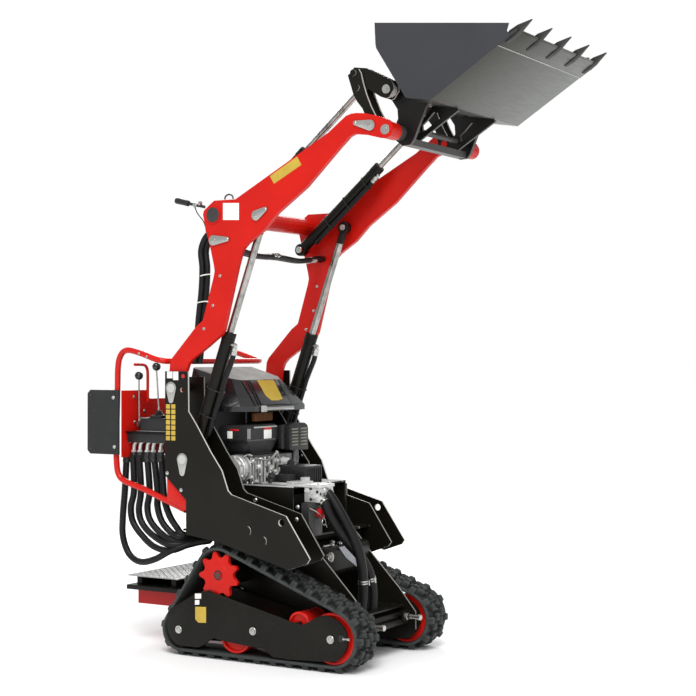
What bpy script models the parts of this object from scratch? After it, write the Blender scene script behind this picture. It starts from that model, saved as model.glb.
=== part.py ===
"""Compact tracked loader with raised arms: the solid parts, each a named object, in metres.

X points forward, Y to the machine's left and Z up, with the ground at Z = 0. Every table of points
below is measured from a plane MID_X behind the middle of the machine; the last lines move all
parts by that much, so that the origin ends under the middle of the whole box.
"""
import math

import bmesh
import bpy
from mathutils import Matrix, Vector

# %% Driving dimensions
MID_X = 0.1356            # where the middle of the box falls on the tables' own X scale
GROUND = -0.015           # the ground on the tables' own Z scale
GAP = 0.0003              # what is left between parts that touch

PLATE_OUT = 0.372         # outer face of the outer side plates
PLATE_T = 0.008
ARM_SLOT = 0.098          # room between the two plates of a side, for an arm and its cylinders
ARM_GAP = 0.009           # room between an arm and the outer plate
ARM_T = 0.020
PIN_HEAD = 0.003          # how far a pin's head stands out of its plate
LIFT_IN = 0.033           # from an arm's inner face to the middle of its lift cylinder
TILT_IN = 0.050           # the same for the tilt cylinder, the rocker and the link
BELT_W = 0.160
BELT_SIDE = 0.0025        # from the outer plate's inner face to the edge of the belt
LEG_IN = 0.0215           # from the belt's inner edge to the leg plate
BUCKET_HALF = 0.372
SHEET = 0.006

PLATE_IN = PLATE_OUT - PLATE_T
INNER_OUT = PLATE_IN - ARM_SLOT
INNER_IN = INNER_OUT - PLATE_T
ARM_OUT = PLATE_IN - ARM_GAP
ARM_IN = ARM_OUT - ARM_T
LIFT_Y = ARM_IN - LIFT_IN
TILT_Y = ARM_IN - TILT_IN
BELT_OUT = PLATE_IN - BELT_SIDE
BELT_IN = BELT_OUT - BELT_W
LEG_OUT = BELT_IN - LEG_IN
LEG_INSIDE = LEG_OUT - PLATE_T

ARM_PIVOT = (-0.429, 1.051)
LIFT_BASE = (-0.373, 0.767)
LIFT_TOP = (-0.027, 1.724)
TILT_BASE = (-0.232, 1.635)
ELBOW = (-0.235, 1.736)
ROCKER_PIVOT = (0.478, 2.036)
ROD_PIN = (0.405, 2.185)
LINK_PIN = (0.390, 2.243)
COUPLER_PIN = (0.525, 2.172)
HINGE = (0.548, 2.014)

BELT_T = 0.012
LUG = 0.017
LUGS = 30
REAR_WHEEL, SPROCKET, FRONT_WHEEL = (-0.398, 0.0863), (-0.2117, 0.3162), (0.314, 0.1136)
REAR_R, SPROCKET_R, FRONT_R = 0.1013, 0.1265, 0.1286      # out to the tips of the lugs
TRACK_WHEELS = ((*REAR_WHEEL, REAR_R), (*SPROCKET, SPROCKET_R), (*FRONT_WHEEL, FRONT_R))

# %% Scene and helpers
for old in list(bpy.data.objects):
    bpy.data.objects.remove(old, do_unlink=True)
scene = bpy.context.scene
scene.unit_settings.system = "METRIC"
scene.unit_settings.scale_length = 1.0
parts = bpy.data.collections.new("parts")
scene.collection.children.link(parts)

COLOURS = {
    "red": (0.70, 0.02, 0.015), "black": (0.03, 0.03, 0.03), "grey": (0.07, 0.07, 0.075),
    "rubber": (0.045, 0.045, 0.045), "steel": (0.45, 0.45, 0.43), "chrome": (0.8, 0.8, 0.8),
    "silver": (0.6, 0.6, 0.6),
}


def mesh_object(name, data):
    """An object that isn't linked anywhere yet."""
    return bpy.data.objects.new(name, data)


def from_bmesh(bm):
    bmesh.ops.recalc_face_normals(bm, faces=bm.faces)
    data = bpy.data.meshes.new("piece")
    bm.to_mesh(data)
    bm.free()
    return mesh_object("piece", data)


def curve_mesh(curve, matrix=None):
    """The mesh of a filled or bevelled curve, with the cap's points joined to the side's."""
    holder = bpy.data.objects.new("curve", curve)
    scene.collection.objects.link(holder)
    graph = bpy.context.evaluated_depsgraph_get()
    data = bpy.data.meshes.new_from_object(holder.evaluated_get(graph))
    bpy.data.objects.remove(holder, do_unlink=True)
    bpy.data.curves.remove(curve)
    bm = bmesh.new()
    bm.from_mesh(data)
    bmesh.ops.remove_doubles(bm, verts=bm.verts, dist=0.00005)
    if matrix is not None:
        bmesh.ops.transform(bm, matrix=matrix, verts=bm.verts)
    return from_bmesh(bm)


def circle(x, z, r, count=16):
    return [(x + r * math.cos(2 * math.pi * k / count), z + r * math.sin(2 * math.pi * k / count))
            for k in range(count)]


def plate(outline, y0, y1, holes=()):
    """A flat plate from an outline in X and Z, between two values of Y."""
    curve = bpy.data.curves.new("outline", "CURVE")
    curve.dimensions = "2D"
    curve.fill_mode = "BOTH"
    curve.extrude = abs(y1 - y0) / 2
    for ring in [list(outline)] + [list(hole) for hole in holes]:
        spline = curve.splines.new("POLY")
        spline.points.add(len(ring) - 1)
        for point, (x, z) in zip(spline.points, ring):
            point.co = (x, z, 0, 1)
        spline.use_cyclic_u = True
    turn = Matrix(((1, 0, 0, 0), (0, 0, -1, (y0 + y1) / 2), (0, 1, 0, 0), (0, 0, 0, 1)))
    return curve_mesh(curve, turn)


def box(x0, x1, y0, y1, z0, z1):
    bm = bmesh.new()
    bmesh.ops.create_cube(bm, size=1)
    bmesh.ops.scale(bm, vec=(x1 - x0, y1 - y0, z1 - z0), verts=bm.verts)
    bmesh.ops.translate(bm, vec=((x0 + x1) / 2, (y0 + y1) / 2, (z0 + z1) / 2), verts=bm.verts)
    return from_bmesh(bm)


def rod(start, end, r, count=12, r_end=None):
    """A round bar or a cone between two points."""
    start, end = Vector(start), Vector(end)
    bm = bmesh.new()
    bmesh.ops.create_cone(bm, cap_ends=True, segments=count, radius1=r,
                          radius2=r if r_end is None else r_end, depth=(end - start).length)
    turn = (end - start).to_track_quat("Z", "Y").to_matrix().to_4x4()
    bmesh.ops.transform(bm, matrix=Matrix.Translation((start + end) / 2) @ turn, verts=bm.verts)
    return from_bmesh(bm)


def pin(xz, y0, y1, r, count=12):
    return rod((xz[0], y0, xz[1]), (xz[0], y1, xz[1]), r, count)


def smooth_path(points, steps=4):
    """Points along a smooth curve through the given ones."""
    points = [Vector(p) for p in points]
    ends = [2 * points[0] - points[1]] + points + [2 * points[-1] - points[-2]]
    path = []
    for k in range(1, len(ends) - 2):
        a, b, c, d = ends[k - 1:k + 3]
        for s in range(steps):
            t = s / steps
            path.append(0.5 * (2 * b + (c - a) * t + (2 * a - 5 * b + 4 * c - d) * t * t
                               + (3 * b - a - 3 * c + d) * t ** 3))
    return path + [points[-1]]


def tube(points, r, resolution=2):
    """A round bar or a hose along a path."""
    curve = bpy.data.curves.new("path", "CURVE")
    curve.dimensions = "3D"
    curve.bevel_depth = r
    curve.bevel_resolution = resolution
    curve.use_fill_caps = True
    spline = curve.splines.new("POLY")
    spline.points.add(len(points) - 1)
    for point, p in zip(spline.points, points):
        point.co = (*p, 1)
    return curve_mesh(curve)


def combine(target, tools, operation):
    """The target after one exact Boolean with each tool."""
    for tool in tools:
        for obj in (target, tool):
            if obj.name not in scene.collection.objects:
                scene.collection.objects.link(obj)
        step = target.modifiers.new(operation, "BOOLEAN")
        step.operation = operation
        step.solver = "EXACT"
        step.object = tool
        graph = bpy.context.evaluated_depsgraph_get()
        data = bpy.data.meshes.new_from_object(target.evaluated_get(graph))
        target.modifiers.remove(step)
        bm = bmesh.new()
        bm.from_mesh(data)
        bmesh.ops.remove_doubles(bm, verts=bm.verts, dist=0.00001)
        bmesh.ops.dissolve_degenerate(bm, edges=bm.edges, dist=0.00001)
        bm.to_mesh(data)
        bm.free()
        target.data = data
        bpy.data.objects.remove(tool, do_unlink=True)
    return target


def node(name, colour, pieces, cuts=(), mirror=False):
    """One named part: its pieces joined, its cuts taken out, and its own material."""
    body = combine(pieces[0], pieces[1:], "UNION")
    body = combine(body, cuts, "DIFFERENCE")
    if body.name in scene.collection.objects:
        scene.collection.objects.unlink(body)
    if mirror:
        bm = bmesh.new()
        bm.from_mesh(body.data)
        bmesh.ops.scale(bm, vec=(1, -1, 1), verts=bm.verts)
        bmesh.ops.reverse_faces(bm, faces=bm.faces)
        bm.to_mesh(body.data)
        bm.free()
    body.name = name
    body.data.name = name
    material = bpy.data.materials.new(name)
    material.use_nodes = True
    material.node_tree.nodes["Principled BSDF"].inputs["Base Color"].default_value = (
        *COLOURS[colour], 1)
    body.data.materials.clear()
    body.data.materials.append(material)
    parts.objects.link(body)
    return body


def both_sides(name, colour, make):
    """The same part on the right, as drawn, and mirrored on the left. It is drawn at plus Y."""
    for side, mirror in (("left", False), ("right", True)):
        made = make()
        pieces, cuts = made if isinstance(made, tuple) else (made, ())
        node(f"{name}_{side}", colour, pieces, cuts, mirror)


def between(a, b, share):
    return tuple(p + (q - p) * share for p, q in zip(a, b))


def along(a, b, distance):
    length = math.dist(a, b)
    return between(a, b, distance / length)


# %% Chassis
LOW_EDGE = ((-0.355, 0.470), (-0.286, 0.461), (-0.200, 0.448), (-0.165, 0.440), (-0.046, 0.409))
FRONT_EDGE = ((0.119, 0.567), (-0.135, 0.637), (-0.152, 0.652), (-0.182, 0.730), (-0.232, 0.796),
              (-0.306, 0.907), (-0.344, 0.959))
SIDE_OUTLINE = ((-0.460, 0.702), (-0.355, 0.607), *LOW_EDGE, (0.130, 0.362), (0.215, 0.392),
                (0.228, 0.410), *FRONT_EDGE, (-0.346, 1.118), (-0.460, 1.118))
INNER_OUTLINE = ((-0.452, 0.702), (-0.347, 0.607), (-0.347, 0.470), *LOW_EDGE[1:],
                 (0.130, 0.365), (0.210, 0.394), (0.224, 0.412), *FRONT_EDGE, (-0.346, 1.095),
                 (-0.452, 1.095))
LEG_OUTLINE = ((-0.347, 0.476), (-0.380, 0.300), (-0.340, 0.085), (0.330, 0.075), (0.385, 0.080),
               (0.385, 0.150), (0.310, 0.240), (0.169, 0.385), (0.090, 0.476))
PIVOT_PIN_R = 0.018
FLOOR_Z, DECK_Z, SHEET_T = 0.470, 0.600, 0.006
ENGINE_Z = 0.664          # top of the engine's base
TIE_TUBES = ((0.060, 0.450, 0.018), (-0.300, 0.520, 0.018))          # x, z, radius
FRAME_TUBES = ((-0.300, 0.140, 0.022), (0.140, 0.105, 0.022))
FRONT_TUBES = ((0.318, 0.134, 0.016), (0.340, 0.112, 0.012))
TENSION_Y, TENSION_X = 0.146, 0.425


def side_plate():
    return [plate(SIDE_OUTLINE, PLATE_IN, PLATE_OUT,
                  [circle(0.099, 0.541, 0.014, 12), circle(-0.375, 1.044, 0.009, 10),
                   circle(*ARM_PIVOT, PIVOT_PIN_R + GAP, 16),
                   circle(*LIFT_BASE, PIVOT_PIN_R + GAP, 16)])]


both_sides("side_plate", "black", side_plate)

ROOT = 0.004              # how far a cross piece runs into the plate that it is welded to
inner_half = INNER_IN + ROOT
leg_half = LEG_INSIDE + ROOT
frame_pieces = [box(-0.452, 0.120, -inner_half, inner_half, FLOOR_Z, FLOOR_Z + PLATE_T)]
for s in (-1, 1):
    frame_pieces.append(plate(INNER_OUTLINE, s * INNER_IN, s * INNER_OUT))
    frame_pieces.append(plate(LEG_OUTLINE, s * LEG_INSIDE, s * LEG_OUT))
frame_pieces += [
    box(-0.452, -0.446, -inner_half, inner_half, 0.620, 1.080),
    box(-0.448, -0.150, -inner_half, inner_half, DECK_Z, DECK_Z + SHEET_T),
    box(-0.340, 0.040, -0.200, 0.200, ENGINE_Z - SHEET_T, ENGINE_Z),
    box(-0.340, 0.040, -0.200, -0.194, FLOOR_Z + ROOT, ENGINE_Z - 0.001),
    box(-0.340, 0.040, 0.194, 0.200, FLOOR_Z + ROOT, ENGINE_Z - 0.001),
    box(-0.054, 0.010, 0.196, inner_half, FLOOR_Z + ROOT, 0.646),
    box(0.210, 0.330, -leg_half, leg_half, 0.168, 0.174),
]
for x, z, r in TIE_TUBES:
    frame_pieces.append(rod((x, -PLATE_IN + GAP, z), (x, PLATE_IN - GAP, z), r, 8))
for x, z, r in FRAME_TUBES:
    frame_pieces.append(rod((x, -BELT_IN - 0.0017, z), (x, BELT_IN + 0.0017, z), r, 8))
for x, z, r in FRONT_TUBES:
    frame_pieces.append(rod((x, -leg_half, z), (x, leg_half, z), r))
for s in (-1, 1):
    for centre in (ARM_PIVOT, LIFT_BASE):
        frame_pieces.append(pin(centre, s * (INNER_IN + ROOT), s * (PLATE_OUT + 0.004), PIVOT_PIN_R, 16))
    x, z, r = FRONT_TUBES[0]
    frame_pieces.append(rod((x, s * TENSION_Y, z), (TENSION_X, s * TENSION_Y, z), 0.008, 10))
    frame_pieces.append(box(0.345, 0.357, s * (TENSION_Y - 0.02), s * leg_half, 0.112, 0.156))
node("chassis_frame", "black", frame_pieces)

# %% Tracks: one closed belt on each side, with its lugs in the outline
def wrapped(wheels, inset):
    """The outline of a belt round three wheels, as straight runs and arcs, evenly sampled."""
    centres = [(x, z) for x, z, r in wheels]
    radii = [r - inset for x, z, r in wheels]
    ends = []
    for k, (c, r) in enumerate(zip(centres, radii)):
        d, q = centres[(k + 1) % 3], radii[(k + 1) % 3]
        length = math.dist(c, d)
        heading = math.atan2(d[1] - c[1], d[0] - c[0])
        normal = heading + math.pi / 2 + math.asin((q - r) / length)
        ends.append((normal, [(p[0] + s * math.cos(normal), p[1] + s * math.sin(normal))
                              for p, s in ((c, r), (d, q))]))
    runs = []
    for k in range(3):
        normal, (start, finish) = ends[k]
        runs.append(("line", start, finish))
        after = ends[(k + 1) % 3][0]
        turn = (normal - after) % (2 * math.pi)
        runs.append(("arc", centres[(k + 1) % 3], radii[(k + 1) % 3], normal, turn))
    return runs


def run_length(run):
    return math.dist(run[1], run[2]) if run[0] == "line" else run[2] * run[4]


def at_run(run, s):
    """The point and the outward normal at a distance along a run."""
    if run[0] == "line":
        x, z = along(run[1], run[2], s)
        angle = math.atan2(run[2][1] - run[1][1], run[2][0] - run[1][0]) + math.pi / 2
        return x, z, angle
    angle = run[3] - s / run[2]
    return run[1][0] + run[2] * math.cos(angle), run[1][1] + run[2] * math.sin(angle), angle


def belt_point(runs, s, out):
    for run in runs:
        if s <= run_length(run):
            break
        s -= run_length(run)
    x, z, angle = at_run(run, min(s, run_length(run)))
    return x + out * math.cos(angle), z + out * math.sin(angle)


def belt():
    body = wrapped(TRACK_WHEELS, LUG)
    total = sum(run_length(run) for run in body)
    pitch = total / LUGS
    outer = []
    for k in range(LUGS):
        for share, out in ((0.0, 0), (0.26, 0), (0.34, LUG), (0.66, LUG), (0.74, 0)):
            outer.append(belt_point(body, (k + share) * pitch, out))
    inside = wrapped(TRACK_WHEELS, LUG + BELT_T)
    length = sum(run_length(run) for run in inside)
    ring = [belt_point(inside, length * k / 60, 0) for k in range(60)]
    return [plate(outer, BELT_IN, BELT_OUT, [ring])]


both_sides("track", "rubber", belt)

FRAME_OUTLINE = (
    (-0.305, 0.250), (-0.252, 0.257), (-0.153, 0.231), (0.086, 0.180), (0.187, 0.155),
    (0.222, 0.117), (0.260, 0.137), (0.314, 0.172), (0.362, 0.152), (0.376, 0.114),
    (0.366, 0.066), (0.321, 0.042), (0.088, 0.025), (0.049, 0.028), (0.015, 0.052),
    (-0.043, 0.055), (-0.205, 0.065), (-0.230, 0.076), (-0.287, 0.031), (-0.371, 0.028),
    (-0.438, 0.039), (-0.453, 0.099), (-0.444, 0.138), (-0.344, 0.226))
WHEEL_IN, WHEEL_OUT = BELT_IN + 0.0155, BELT_OUT - 0.013
FRAME_IN, FRAME_OUT = BELT_IN + 0.002, BELT_OUT + 0.002
AXLE_R = 0.010
LOWER_ROLLER, UPPER_ROLLER = (-0.1317, 0.090), (0.1642, 0.157)
ROLLERS = (("rear_idler", REAR_WHEEL, 0.0697), ("front_idler", FRONT_WHEEL, 0.0978),
           ("lower_roller", LOWER_ROLLER, 0.0740), ("upper_roller", UPPER_ROLLER, 0.0470))


def track_frame():
    plates = [plate(FRAME_OUTLINE, FRAME_OUT - PLATE_T, FRAME_OUT),
              plate(FRAME_OUTLINE, FRAME_IN, FRAME_IN + PLATE_T)]
    ties = [(-0.285, 0.150, 0.016), (0.020, 0.110, 0.016)]
    axles = [(*centre, AXLE_R) for name, centre, radius in ROLLERS]
    return plates + [rod((x, FRAME_IN + ROOT, z), (x, FRAME_OUT - ROOT, z), r, 12)
                     for x, z, r in ties + axles]


def roller(centre, radius):
    return ([pin(centre, WHEEL_IN, WHEEL_OUT, radius, 20)],
            [pin(centre, WHEEL_IN - 0.01, WHEEL_OUT + 0.01, AXLE_R + 0.0008, 10)])


both_sides("track_frame", "black", track_frame)
for name, centre, radius in ROLLERS:
    both_sides(name, "red", lambda: roller(centre, radius))

TEETH = 9
TOOTH_TIP, TOOTH_ROOT = 0.094, 0.072


def sprocket():
    ring = []
    for k in range(TEETH):
        for share, r in ((0.0, TOOTH_ROOT), (0.30, TOOTH_ROOT), (0.42, TOOTH_TIP),
                         (0.72, TOOTH_TIP), (0.84, TOOTH_ROOT)):
            a = 2 * math.pi * (k + share) / TEETH
            ring.append((SPROCKET[0] + r * math.cos(a), SPROCKET[1] + r * math.sin(a)))
    return [plate(ring, BELT_OUT - 0.029, BELT_OUT - 0.009),
            pin(SPROCKET, LEG_OUT + GAP, BELT_OUT - 0.020, 0.045, 20)]


both_sides("sprocket", "red", sprocket)

# %% Lift arms
ARM_OUTLINE = (
    (-0.457, 1.055), (-0.448, 1.151), (-0.437, 1.172), (-0.318, 1.296),
    (-0.285, 1.320), (-0.233, 1.490), (-0.228, 1.514), (-0.232, 1.538), (-0.248, 1.603),
    (-0.266, 1.662), (-0.285, 1.738), (-0.281, 1.754), (-0.253, 1.776), (-0.231, 1.792),
    (-0.128, 1.792), (0.300, 2.021), (0.350, 2.058),
    (0.378, 2.078), (0.400, 2.084), (0.422, 2.085), (0.461, 2.081), (0.516, 2.066),
    (0.554, 2.052), (0.572, 2.040), (0.582, 2.014), (0.570, 1.988), (0.548, 1.982),
    (0.516, 1.987), (0.461, 2.002), (0.414, 2.008), (0.392, 1.999), (0.350, 1.962),
    (0.200, 1.820), (0.071, 1.730), (0.006, 1.666), (-0.072, 1.616),
    (-0.096, 1.592), (-0.106, 1.565), (-0.117, 1.531), (-0.183, 1.282), (-0.194, 1.264),
    (-0.263, 1.215), (-0.340, 1.165), (-0.358, 1.145), (-0.368, 1.120), (-0.376, 1.060),
    (-0.385, 1.034), (-0.404, 1.018), (-0.429, 1.013), (-0.448, 1.022))

HEAD_OUT = ARM_OUT + PIN_HEAD
HUB_R = 0.033
ROCKER_IN = 0.0275        # from a rocker's middle to the inner face of its plates
LINK_IN = 0.015           # the same for a link, which runs inside the rocker
LIFT_EYE = (0.024, 0.0165)          # radius and half width
TILT_EYE = (0.0195, 0.010)
ARM_PINS = (                        # centre, where it starts from the middle plane, radius
    (LIFT_TOP, LIFT_Y + LIFT_EYE[1] + GAP, 0.0190),
    (TILT_BASE, TILT_Y - 0.023, 0.0138),
    (ROCKER_PIVOT, TILT_Y - 0.041, 0.0138))

arm_pieces = [rod((ELBOW[0], -HEAD_OUT, ELBOW[1]), (ELBOW[0], HEAD_OUT, ELBOW[1]), 0.036, 16)]
arm_cuts = []
for s in (-1, 1):
    arm_pieces.append(plate(ARM_OUTLINE, s * ARM_IN, s * ARM_OUT))
    arm_pieces.append(pin(HINGE, s * (TILT_Y + 0.002), s * HEAD_OUT, HUB_R, 18))
    for centre, start, r in ARM_PINS:
        arm_pieces.append(pin(centre, s * start, s * HEAD_OUT, r, 12))
    arm_cuts.append(pin(ARM_PIVOT, s * (ARM_IN - 0.02), s * (ARM_OUT + 0.008), PIVOT_PIN_R + 0.0006, 16))
    arm_cuts.append(pin(HINGE, s * (TILT_Y - 0.005), s * (ARM_OUT + 0.02), 0.0146, 16))
node("lift_arms", "red", arm_pieces, arm_cuts)

# %% Cylinders: a barrel with an open bore and a rod that slides in it
def at(a, b, distance, y, aside=0.0):
    """A point on the line from a to b, or to one side of it."""
    x, z = along(a, b, distance)
    length = math.dist(a, b)
    return x + aside * (b[1] - a[1]) / length, y, z - aside * (b[0] - a[0]) / length


def barrel(base, top, y, r, length, bore, floor, eye, eye_half, hole, hose):
    """A barrel with its port and the hose that runs along it. The hose lies on the +X side."""
    start, end, aside, hose_r, inward = hose
    hose_y = y - inward
    line = [at(base, top, start, y, aside * 0.4), at(base, top, start + 0.03, hose_y, aside),
            at(base, top, end - 0.05, hose_y, aside), at(base, top, end - 0.03, hose_y, aside * 0.9)]
    return ([pin(base, y - eye_half, y + eye_half, eye, 16),
             rod(at(base, top, eye * 0.6, y), at(base, top, length, y), r, 14),
             rod(at(base, top, length - 0.035, y), at(base, top, length + 0.003, y), r + 0.0015, 14),
             tube(line, hose_r, 1),
             rod(at(base, top, end - 0.043, hose_y, aside * 0.92), at(base, top, end, hose_y, aside * 0.9),
                 hose_r * 1.12, 8),
             rod(at(base, top, end - 0.011, hose_y, aside * 0.95), at(base, top, end - 0.009, y, 0),
                 hose_r * 0.9, 8)],
            [rod(at(base, top, floor, y), at(base, top, length + 0.02, y), bore, 12),
             pin(base, y - 0.06, y + 0.06, hole, 16)])


def piston_rod(base, top, y, r, start, eye, eye_half, own_pin=()):
    end = math.dist(base, top)
    return [rod(at(base, top, start, y), at(base, top, end - eye * 0.7, y), r, 12),
            pin(top, y - eye_half, y + eye_half, eye, 16)] + [
                pin(top, y - half, y + half, pin_r, 12) for pin_r, half in own_pin]


both_sides("lift_barrel", "black", lambda: barrel(
    LIFT_BASE, LIFT_TOP, LIFT_Y, 0.026, 0.537, 0.0154, 0.075, 0.031, 0.024, PIVOT_PIN_R + 0.0006,
    (0.10, 0.50, 0.039, 0.0115, 0.0)))
both_sides("lift_rod", "chrome", lambda: piston_rod(
    LIFT_BASE, LIFT_TOP, LIFT_Y, 0.0144, 0.470, *LIFT_EYE))
both_sides("tilt_barrel", "black", lambda: barrel(
    TILT_BASE, ROD_PIN, TILT_Y, 0.0225, 0.510, 0.0130, 0.150, 0.026, 0.015, 0.0144,
    (0.07, 0.49, 0.032, 0.0100, 0.013)))
both_sides("tilt_rod", "chrome", lambda: piston_rod(
    TILT_BASE, ROD_PIN, TILT_Y, 0.0120, 0.340, *TILT_EYE, [(0.0100, LINK_IN - GAP)]))

# %% Rockers and links
ROCKER_OUTLINE = (
    (0.366, 2.236), (0.391, 2.160), (0.406, 2.134), (0.430, 2.105), (0.442, 2.080),
    (0.449, 2.040), (0.455, 2.020), (0.470, 2.009), (0.488, 2.010), (0.503, 2.024),
    (0.503, 2.044), (0.492, 2.064), (0.468, 2.106), (0.446, 2.157), (0.432, 2.200),
    (0.422, 2.240), (0.412, 2.256), (0.402, 2.258))
LINK_OUTLINE = (
    (0.372, 2.231), (0.372, 2.252), (0.386, 2.266), (0.440, 2.258), (0.543, 2.206),
    (0.553, 2.190), (0.556, 2.168), (0.536, 2.140), (0.524, 2.137), (0.500, 2.146),
    (0.420, 2.196), (0.385, 2.222))


def rocker():
    """Two plates on one hub. The pins of the tilt rod and the link end between the plates."""
    inner, outer = TILT_Y - ROCKER_IN, TILT_Y + ROCKER_IN
    plates = [plate(ROCKER_OUTLINE, inner - 0.010, inner), plate(ROCKER_OUTLINE, outer, outer + 0.010)]
    hub = [pin(ROCKER_PIVOT, inner - 0.005, outer + 0.005, 0.026, 16)]
    heads = [pin(p, outer + 0.006, outer + 0.013, 0.0130, 12) for p in (ROD_PIN, LINK_PIN)]
    return plates + hub + heads, [pin(ROCKER_PIVOT, inner - 0.02, outer + 0.02, 0.0144, 16)]


def link():
    plates = [plate(LINK_OUTLINE, TILT_Y + y, TILT_Y + y + 0.008) for y in (-LINK_IN - 0.008, LINK_IN)]
    stubs = [pin(LINK_PIN, TILT_Y + s * (LINK_IN + 0.004), TILT_Y + s * (ROCKER_IN - GAP), 0.0100, 12)
             for s in (-1, 1)]
    return (plates + stubs + [pin(COUPLER_PIN, TILT_Y - 0.021, TILT_Y + 0.021, 0.026, 16)],
            [pin(COUPLER_PIN, TILT_Y - 0.04, TILT_Y + 0.04, 0.0107, 16)])


both_sides("rocker", "black", rocker)
both_sides("tilt_link", "black", link)

# %% Bucket with its coupler
BUCKET_OUTLINE = (
    (0.511, 2.409), (0.515, 2.329), (0.518, 2.314), (0.642, 2.120), (0.745, 2.103),
    (1.060, 2.302), (1.0466, 2.3232), (1.055, 2.348))
INSIDE_OUTLINE = (
    (0.5172, 2.500), (0.5212, 2.330), (0.5240, 2.3165), (0.6458, 2.1255), (0.7436, 2.1092),
    (1.150, 2.3660), (1.150, 2.500))
node("bucket", "grey",
     [plate(BUCKET_OUTLINE, -BUCKET_HALF, BUCKET_HALF)],
     [plate(INSIDE_OUTLINE, -BUCKET_HALF + SHEET, BUCKET_HALF - SHEET)])

FLOOR_ALONG = Vector((0.8454, 0.0, 0.5341))
FLOOR_UP = Vector((-0.5341, 0.0, 0.8454))
EDGE_START = Vector((1.0606, 0.0, 2.3024))


def slanted(s0, s1, low0, high0, low1, high1, y, half0, half1):
    """A wedge along the bucket's floor, from one section to another."""
    bm = bmesh.new()
    rings = []
    for s, low, high, half in ((s0, low0, high0, half0), (s1, low1, high1, half1)):
        base = EDGE_START + FLOOR_ALONG * s
        rings.append([bm.verts.new(base + FLOOR_UP * n + Vector((0, y + side, 0)))
                      for n, side in ((low, -half), (low, half), (high, half), (high, -half))])
    bm.faces.new(rings[0])
    bm.faces.new(rings[1][::-1])
    for k in range(4):
        bm.faces.new((rings[0][k], rings[1][k], rings[1][(k + 1) % 4], rings[0][(k + 1) % 4]))
    return from_bmesh(bm)


edge = [slanted(0.0, 0.036, 0.0, 0.010, 0.0, 0.004, 0, BUCKET_HALF, BUCKET_HALF)]
for k in range(5):
    edge.append(slanted(0.006, 0.092, -0.006, 0.022, 0.004, 0.007, (k - 2) * (BUCKET_HALF - 0.025) / 2, 0.018, 0.005))
node("cutting_edge", "steel", edge)

CHEEK_OUTLINE = (
    (0.497, 2.170), (0.503, 2.192), (0.522, 2.200), (0.560, 2.190), (0.5895, 2.200),
    (0.6408, 2.1196), (0.6620, 2.1160), (0.636, 2.060), (0.604, 1.985), (0.590, 1.968),
    (0.556, 1.966), (0.526, 1.990), (0.518, 2.010), (0.524, 2.040), (0.538, 2.070),
    (0.535, 2.105), (0.515, 2.135), (0.500, 2.152))
WEB_OUTLINE = (
    (0.545, 1.975), (0.560, 1.975), (0.752, 2.094), (0.7440, 2.1026), (0.6424, 2.1193),
    (0.620, 2.090), (0.575, 2.055), (0.545, 2.010))
WEB_HOLE = ((0.600, 2.022), (0.680, 2.072), (0.668, 2.090), (0.648, 2.096), (0.618, 2.066), (0.598, 2.050))
CHEEK_IN, CHEEK_OUT = TILT_Y - 0.059, TILT_Y - 0.043
WEB_IN = CHEEK_IN * 0.67
coupler = [box(0.549, 0.587, -CHEEK_IN - 0.006, CHEEK_IN + 0.006, 1.9687, 1.9945)]
for s in (-1, 1):
    coupler.append(plate(CHEEK_OUTLINE, s * CHEEK_IN, s * CHEEK_OUT))
    coupler.append(plate(WEB_OUTLINE, s * WEB_IN, s * (WEB_IN + 0.012), [WEB_HOLE]))
    coupler.append(pin(COUPLER_PIN, s * (CHEEK_OUT - 0.006), s * (TILT_Y + 0.0245), 0.0100, 12))
    coupler.append(pin(HINGE, s * (CHEEK_OUT - 0.0085), s * (TILT_Y + 0.001), 0.0285, 20))
    coupler.append(pin(HINGE, s * (TILT_Y - 0.005), s * HEAD_OUT, 0.0138, 16))
coupler.append(rod((0.580, -CHEEK_IN - 0.007, 2.029), (0.580, CHEEK_IN + 0.007, 2.029), 0.011, 12))
coupler.append(rod((0.574, -CHEEK_IN - 0.0075, 2.149), (0.574, CHEEK_IN + 0.0075, 2.149), 0.013, 12))
node("coupler", "black", coupler)


# %% Rear: guard, panel, wings, valves, platform
GUARD_R = 0.0125
GUARD_Y = PLATE_IN - 0.014


def guard_side(s):
    y = s * GUARD_Y
    return smooth_path([(-0.372, y, 0.566), (-0.500, y, 0.610), (-0.680, y, 0.668),
                        (-0.708, y, 0.688), (-0.716, y, 0.725), (-0.716, y, 0.900),
                        (-0.716, y, 1.130), (-0.708, y, 1.176), (-0.686, y, 1.199),
                        (-0.655, y, 1.204), (-0.600, y, 1.188), (-0.525, y, 1.166),
                        (-0.490, s * (GUARD_Y - 0.012), 1.159),
                        (-0.475, s * (GUARD_Y - 0.050), 1.158)], 2)


GUSSET = ((-0.452, 0.700), (-0.345, 0.605), (-0.345, 0.560), (-0.452, 0.598))
guard = [tube(guard_side(-1) + guard_side(1)[::-1], GUARD_R)]
for s in (-1, 1):
    guard.append(plate(GUSSET, s * (PLATE_IN - 0.0065), s * (PLATE_IN - GAP)))
node("guard", "red", guard)

PANEL_YZ = ((-0.350, 0.790), (0.350, 0.790), (0.350, 1.000), (-0.130, 1.000), (-0.160, 1.012),
            (-0.170, 1.040), (-0.350, 1.040))


def upright(outline, x0, x1, holes=()):
    """A flat plate from an outline in Y and Z, between two values of X."""
    body = plate(outline, x0, x1, holes)
    turn = Matrix(((0, 1, 0, 0), (1, 0, 0, 0), (0, 0, 1, 0), (0, 0, 0, 1)))
    bm = bmesh.new()
    bm.from_mesh(body.data)
    bmesh.ops.transform(bm, matrix=turn, verts=bm.verts)
    bpy.data.objects.remove(body, do_unlink=True)
    return from_bmesh(bm)


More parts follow.
